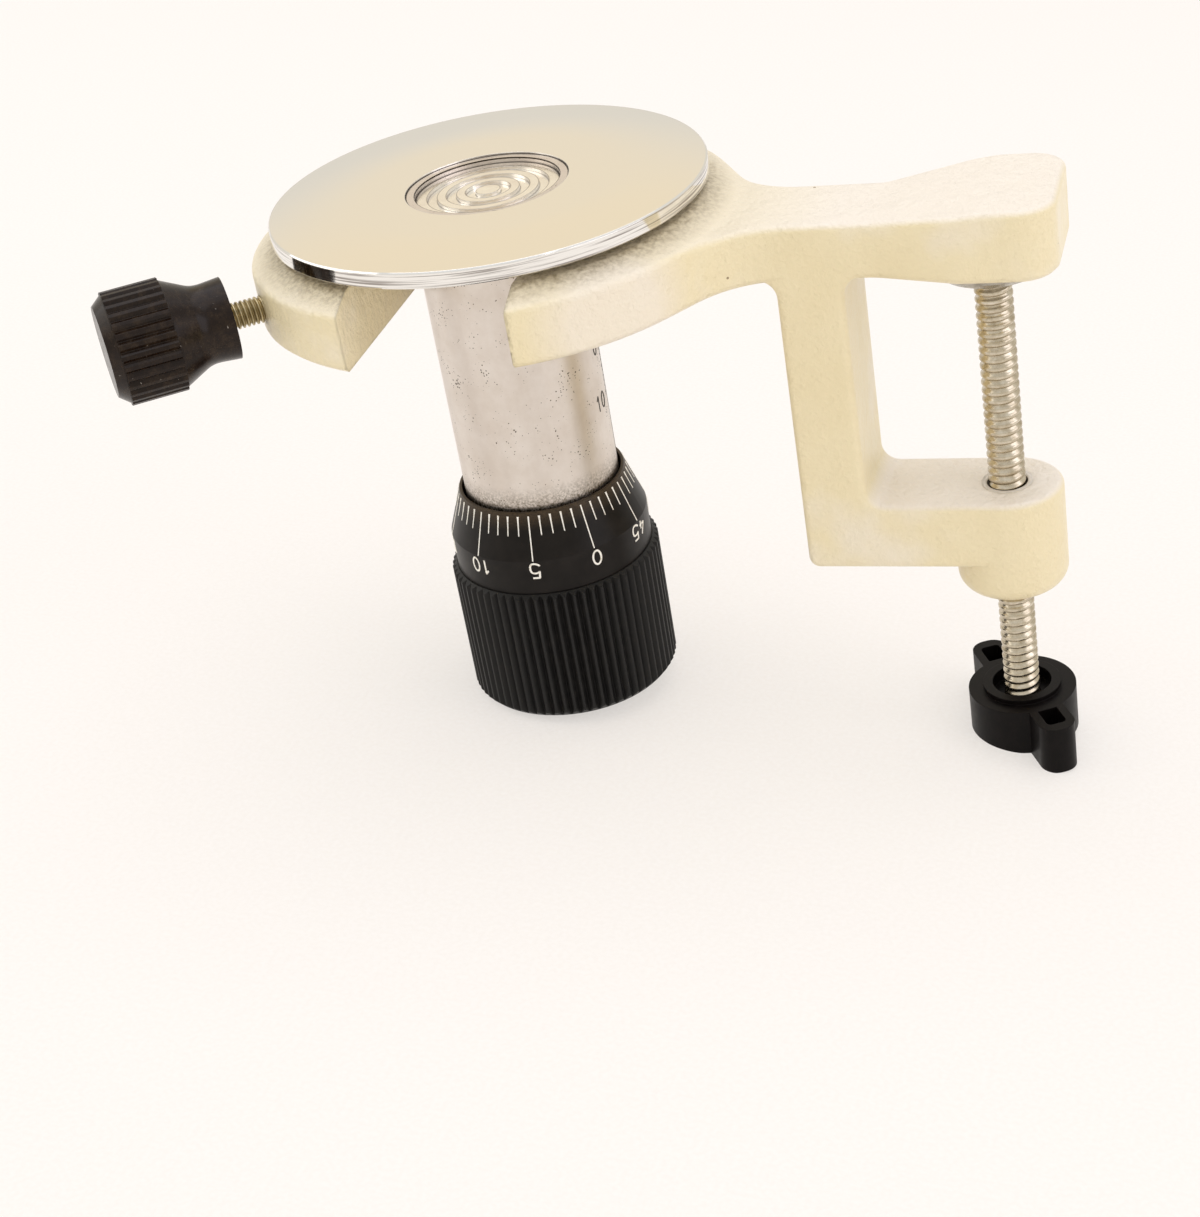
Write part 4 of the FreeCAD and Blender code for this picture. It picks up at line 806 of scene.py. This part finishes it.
# %% Lock screw
LOCK_ANGLE, LOCK_DEPTH = 35.0, 11.0
LOCK_FRONT, LOCK_END = 21.25 * MM, 59.4 * MM
LOCK_CREST, LOCK_ROOT, LOCK_PITCH = 2.3 * MM, 1.85 * MM, 0.8 * MM
turned = math.radians(LOCK_ANGLE)
outward = Vector((-math.cos(turned), -math.sin(turned), 0))
across = Vector((0, 0, 1)).cross(outward)
lock_place = Matrix((
    (across.x, 0, outward.x, 0),
    (across.y, 0, outward.y, 0),
    (0, 1, 0, -LOCK_DEPTH * MM),
    (0, 0, 0, 1),
))
shape = bmesh.new()
wind_thread(shape, LOCK_CREST, LOCK_ROOT, LOCK_PITCH, LOCK_FRONT, LOCK_END, steps=36)
lock_thread = make_piece("lock_screw_threaded", shape, passivated, lock_place, "lock_knob")
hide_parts("lock_screw")

# %% [markdown]
# ## Rim of the clamp screw's hole
# The boss was tapped after painting. Enamel runs close up to the screw, and only a hair of bare
# iron shows dark between them. The solid has a wide countersink there for its own clearance,
# so a low ring of enamel lies in it, with a thin iron lining at its inner edge.

# %% Ring of enamel and its iron lining
bare_iron = small_metal("bare_cast_iron", "5C544A", "3A332B", shine=0.5)
SCREW_HOLE, SINK, BOSS_TOP = 3.2, 1.1, -58.1
LINING = 0.28
EDGE_ROUNDING = 0.05


def hole_ring(name, finish, inner, outer, top):
    """A ring that fills part of the countersink, down to its slope."""
    shape = bmesh.new()
    depth_in = SINK - (inner - SCREW_HOLE)
    depth_out = max(SINK - (outer - SCREW_HOLE), 0.0)
    lathe(shape, [
        (inner * MM, (BOSS_TOP - depth_in) * MM),
        (inner * MM, (BOSS_TOP + top - EDGE_ROUNDING) * MM),
        ((inner + EDGE_ROUNDING) * MM, (BOSS_TOP + top) * MM),
        (outer * MM, (BOSS_TOP + top) * MM),
        (outer * MM, (BOSS_TOP - depth_out - 0.03) * MM),
        (inner * MM, (BOSS_TOP - depth_in) * MM),
    ], steps=64)
    bmesh.ops.remove_doubles(shape, verts=shape.verts[:], dist=1e-7)
    make_piece(name, shape, finish, clamp_place, "frame")


lining_edge = SCREW_HOLE + LINING
hole_ring("clamp_hole_lining", bare_iron, SCREW_HOLE + 0.03, lining_edge, top=-0.12)
hole_ring("clamp_hole_enamel", enamel, lining_edge, SCREW_HOLE + SINK + 0.1,
          top=0.03)

# %% [markdown]
# ## Numerals
# Engraved figures are single lines drawn by a cutter that follows a template. Each figure here
# is a list of strokes on a small grid, 4 wide and 6 high. A point given twice makes a corner,
# because the stroke is a smooth curve. The cutter's path is a round bead, sunk so deep in the
# surface that only a low flat ridge of paint shows.

# %% Figures as cutter paths
CELL_WIDTH, CELL_HEIGHT, ADVANCE = 4, 6, 5.3
OVAL = [(2 + 1.75 * math.cos(a * math.pi / 8), 3 + 3 * math.sin(a * math.pi / 8))
        for a in range(17)]
FIGURES = {
    "0": [OVAL],
    "1": [[(0.9, 4.4), (2.3, 6), (2.3, 6), (2.3, 0)]],
    "2": [[(0.3, 4.4), (0.4, 6.1), (3.8, 6.3), (3.9, 3.6), (1.6, 2.2), (0.3, 0), (0.3, 0),
           (3.9, 0)]],
    "3": [[(0.3, 5.2), (1.0, 6.2), (3.9, 6.3), (3.8, 3.3), (1.6, 3.3), (1.6, 3.3), (4.1, 3.4),
           (4.0, -0.3), (0.9, -0.2), (0.2, 0.9)]],
    "4": [[(2.7, 6), (0.1, 1.7), (0.1, 1.7), (4.0, 1.7)], [(3.0, 3.3), (3.0, 0)]],
    "5": [[(3.6, 6), (0.9, 6), (0.9, 6), (0.6, 3.3), (0.6, 3.3), (1.8, 4.1), (4.2, 3.7),
           (4.1, -0.2), (1.2, -0.3), (0.2, 0.8)]],
}


def figure_strokes(text):
    """Strokes of a number, centred on (0, 0), in units of the grid."""
    width = ADVANCE * len(text) - (ADVANCE - CELL_WIDTH)
    for index, figure in enumerate(text):
        for stroke in FIGURES[figure]:
            yield [(x + ADVANCE * index - width / 2, y - CELL_HEIGHT / 2) for x, y in stroke]


class Engraving:
    """Cutter paths on a turned surface, drawn as one curve."""

    def __init__(self, name, half_width, sink):
        self.curve = bpy.data.curves.new(name, "CURVE")
        self.curve.dimensions = "3D"
        self.curve.bevel_depth = half_width * MM
        self.curve.bevel_resolution = 1
        self.curve.resolution_u = 3
        self.curve.use_fill_caps = True
        self.sink = sink

    def cut(self, points, widths=None):
        """Points are (angle in degrees, height, radius of the surface), all in millimetres."""
        spline = self.curve.splines.new("NURBS")
        spline.points.add(len(points) - 1)
        for index, (angle, height, radius) in enumerate(points):
            turn = math.radians(angle)
            reach = (radius - self.sink) * MM
            point = spline.points[index]
            point.co = (reach * math.cos(turn), reach * math.sin(turn), height * MM, 1)
            point.radius = widths[index] if widths else 1.0
        spline.order_u = 3 if len(points) > 2 else 2
        spline.use_endpoint_u = True

    def piece(self, name, finish, body, slot):
        """Turn the paths into a piece that rides on a body."""
        self.curve.materials.append(finish)
        thing = bpy.data.objects.new(name, self.curve)
        bpy.context.scene.collection.objects.link(thing)
        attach(thing, body)
        print(name, "has", len(self.curve.splines), "strokes")


# %% [markdown]
# ## The drum's scale
# Fifty divisions go round the bevel. Every fifth line is long and has its number on the band
# below, upside down, so that it reads from above when the drum is in front of the user. The
# cutter dwells where it enters at the rim, which leaves a dot at the head of the short lines.

# %% Graduate the sleeve
SLEEVE_TOP, BEVEL_HEIGHT = 55.5, 8.2
RIM_RADIUS, BAND_RADIUS = 15.05, 18.0
ZERO_ANGLE, DIVISIONS = -46.6, 50
LINE_TOP, SHORT_LINE, LONG_LINE = 0.6, 3.9, 8.2
DWELL = 0.45
FIGURE_HEIGHT, FIGURE_DROP, FIGURE_WEIGHT = 2.75, 1.95, 1.25
FIGURE_SHIFT = 0.8


def bevel_radius(drop):
    """Radius of the sleeve at a distance below its rim."""
    share = min(drop / BEVEL_HEIGHT, 1.0)
    return RIM_RADIUS + (BAND_RADIUS - RIM_RADIUS) * share


dial = Engraving("dial_lines", half_width=0.17, sink=0.09)
for division in range(DIVISIONS):
    angle = ZERO_ANGLE - division * 360 / DIVISIONS
    long_line = division % 5 == 0
    foot = LONG_LINE if long_line else SHORT_LINE
    drops = [LINE_TOP, LINE_TOP + DWELL, foot]
    bead = [1.1, 0.9, 0.9] if long_line else [1.5, 0.85, 0.85]
    dial.cut([(angle, -SLEEVE_TOP - drop, bevel_radius(drop)) for drop in drops], bead)
    if long_line:
        unit = FIGURE_HEIGHT / CELL_HEIGHT
        centre = angle + FIGURE_SHIFT
        middle = -SLEEVE_TOP - BEVEL_HEIGHT - FIGURE_DROP
        for stroke in figure_strokes(str(division)):
            dial.cut([(centre - math.degrees(x * unit / BAND_RADIUS), middle - y * unit,
                       BAND_RADIUS) for x, y in stroke], [FIGURE_WEIGHT] * len(stroke))
dial.piece("dial_scale", white_paint, "drum", "black_anodised")

# %% [markdown]
# ## The barrel's scale
# A line down the barrel is the mark that the drum is read against. Beside it are millimetre
# lines with the figures 0 and 10. Only the 10 shows in the photograph, at the barrel's edge,
# so the rest is what such a scale has.

# %% Graduate the barrel
INDEX_ANGLE, SCALE_TOP, INDEX_END = 19.0, -31.0, -72.5
LONG_ARC, SHORT_ARC = 8.0, 5.0
BARREL_FIGURE, NARROWED = 2.9, 0.85
barrel_scale = Engraving("barrel_lines", half_width=0.15, sink=0.09)
barrel_scale.cut([(INDEX_ANGLE, height, BARREL_RADIUS) for height in (SCALE_TOP, INDEX_END)])
for step in range(11):
    arc = LONG_ARC if step % 5 == 0 else SHORT_ARC
    barrel_scale.cut([(INDEX_ANGLE - share * arc, SCALE_TOP - step, BARREL_RADIUS)
                      for share in (0, 0.5, 1)])
unit = BARREL_FIGURE / CELL_HEIGHT
for text, height, angle in (("0", SCALE_TOP, 0.5), ("10", SCALE_TOP - 10, -4.2)):
    for stroke in figure_strokes(text):
        barrel_scale.cut([(angle + math.degrees(x * unit * NARROWED / BARREL_RADIUS),
                           height + y * unit, BARREL_RADIUS) for x, y in stroke],
                         [FIGURE_WEIGHT] * len(stroke))
barrel_scale.piece("barrel_scale", black_paint, "unit", "turned_aluminium")
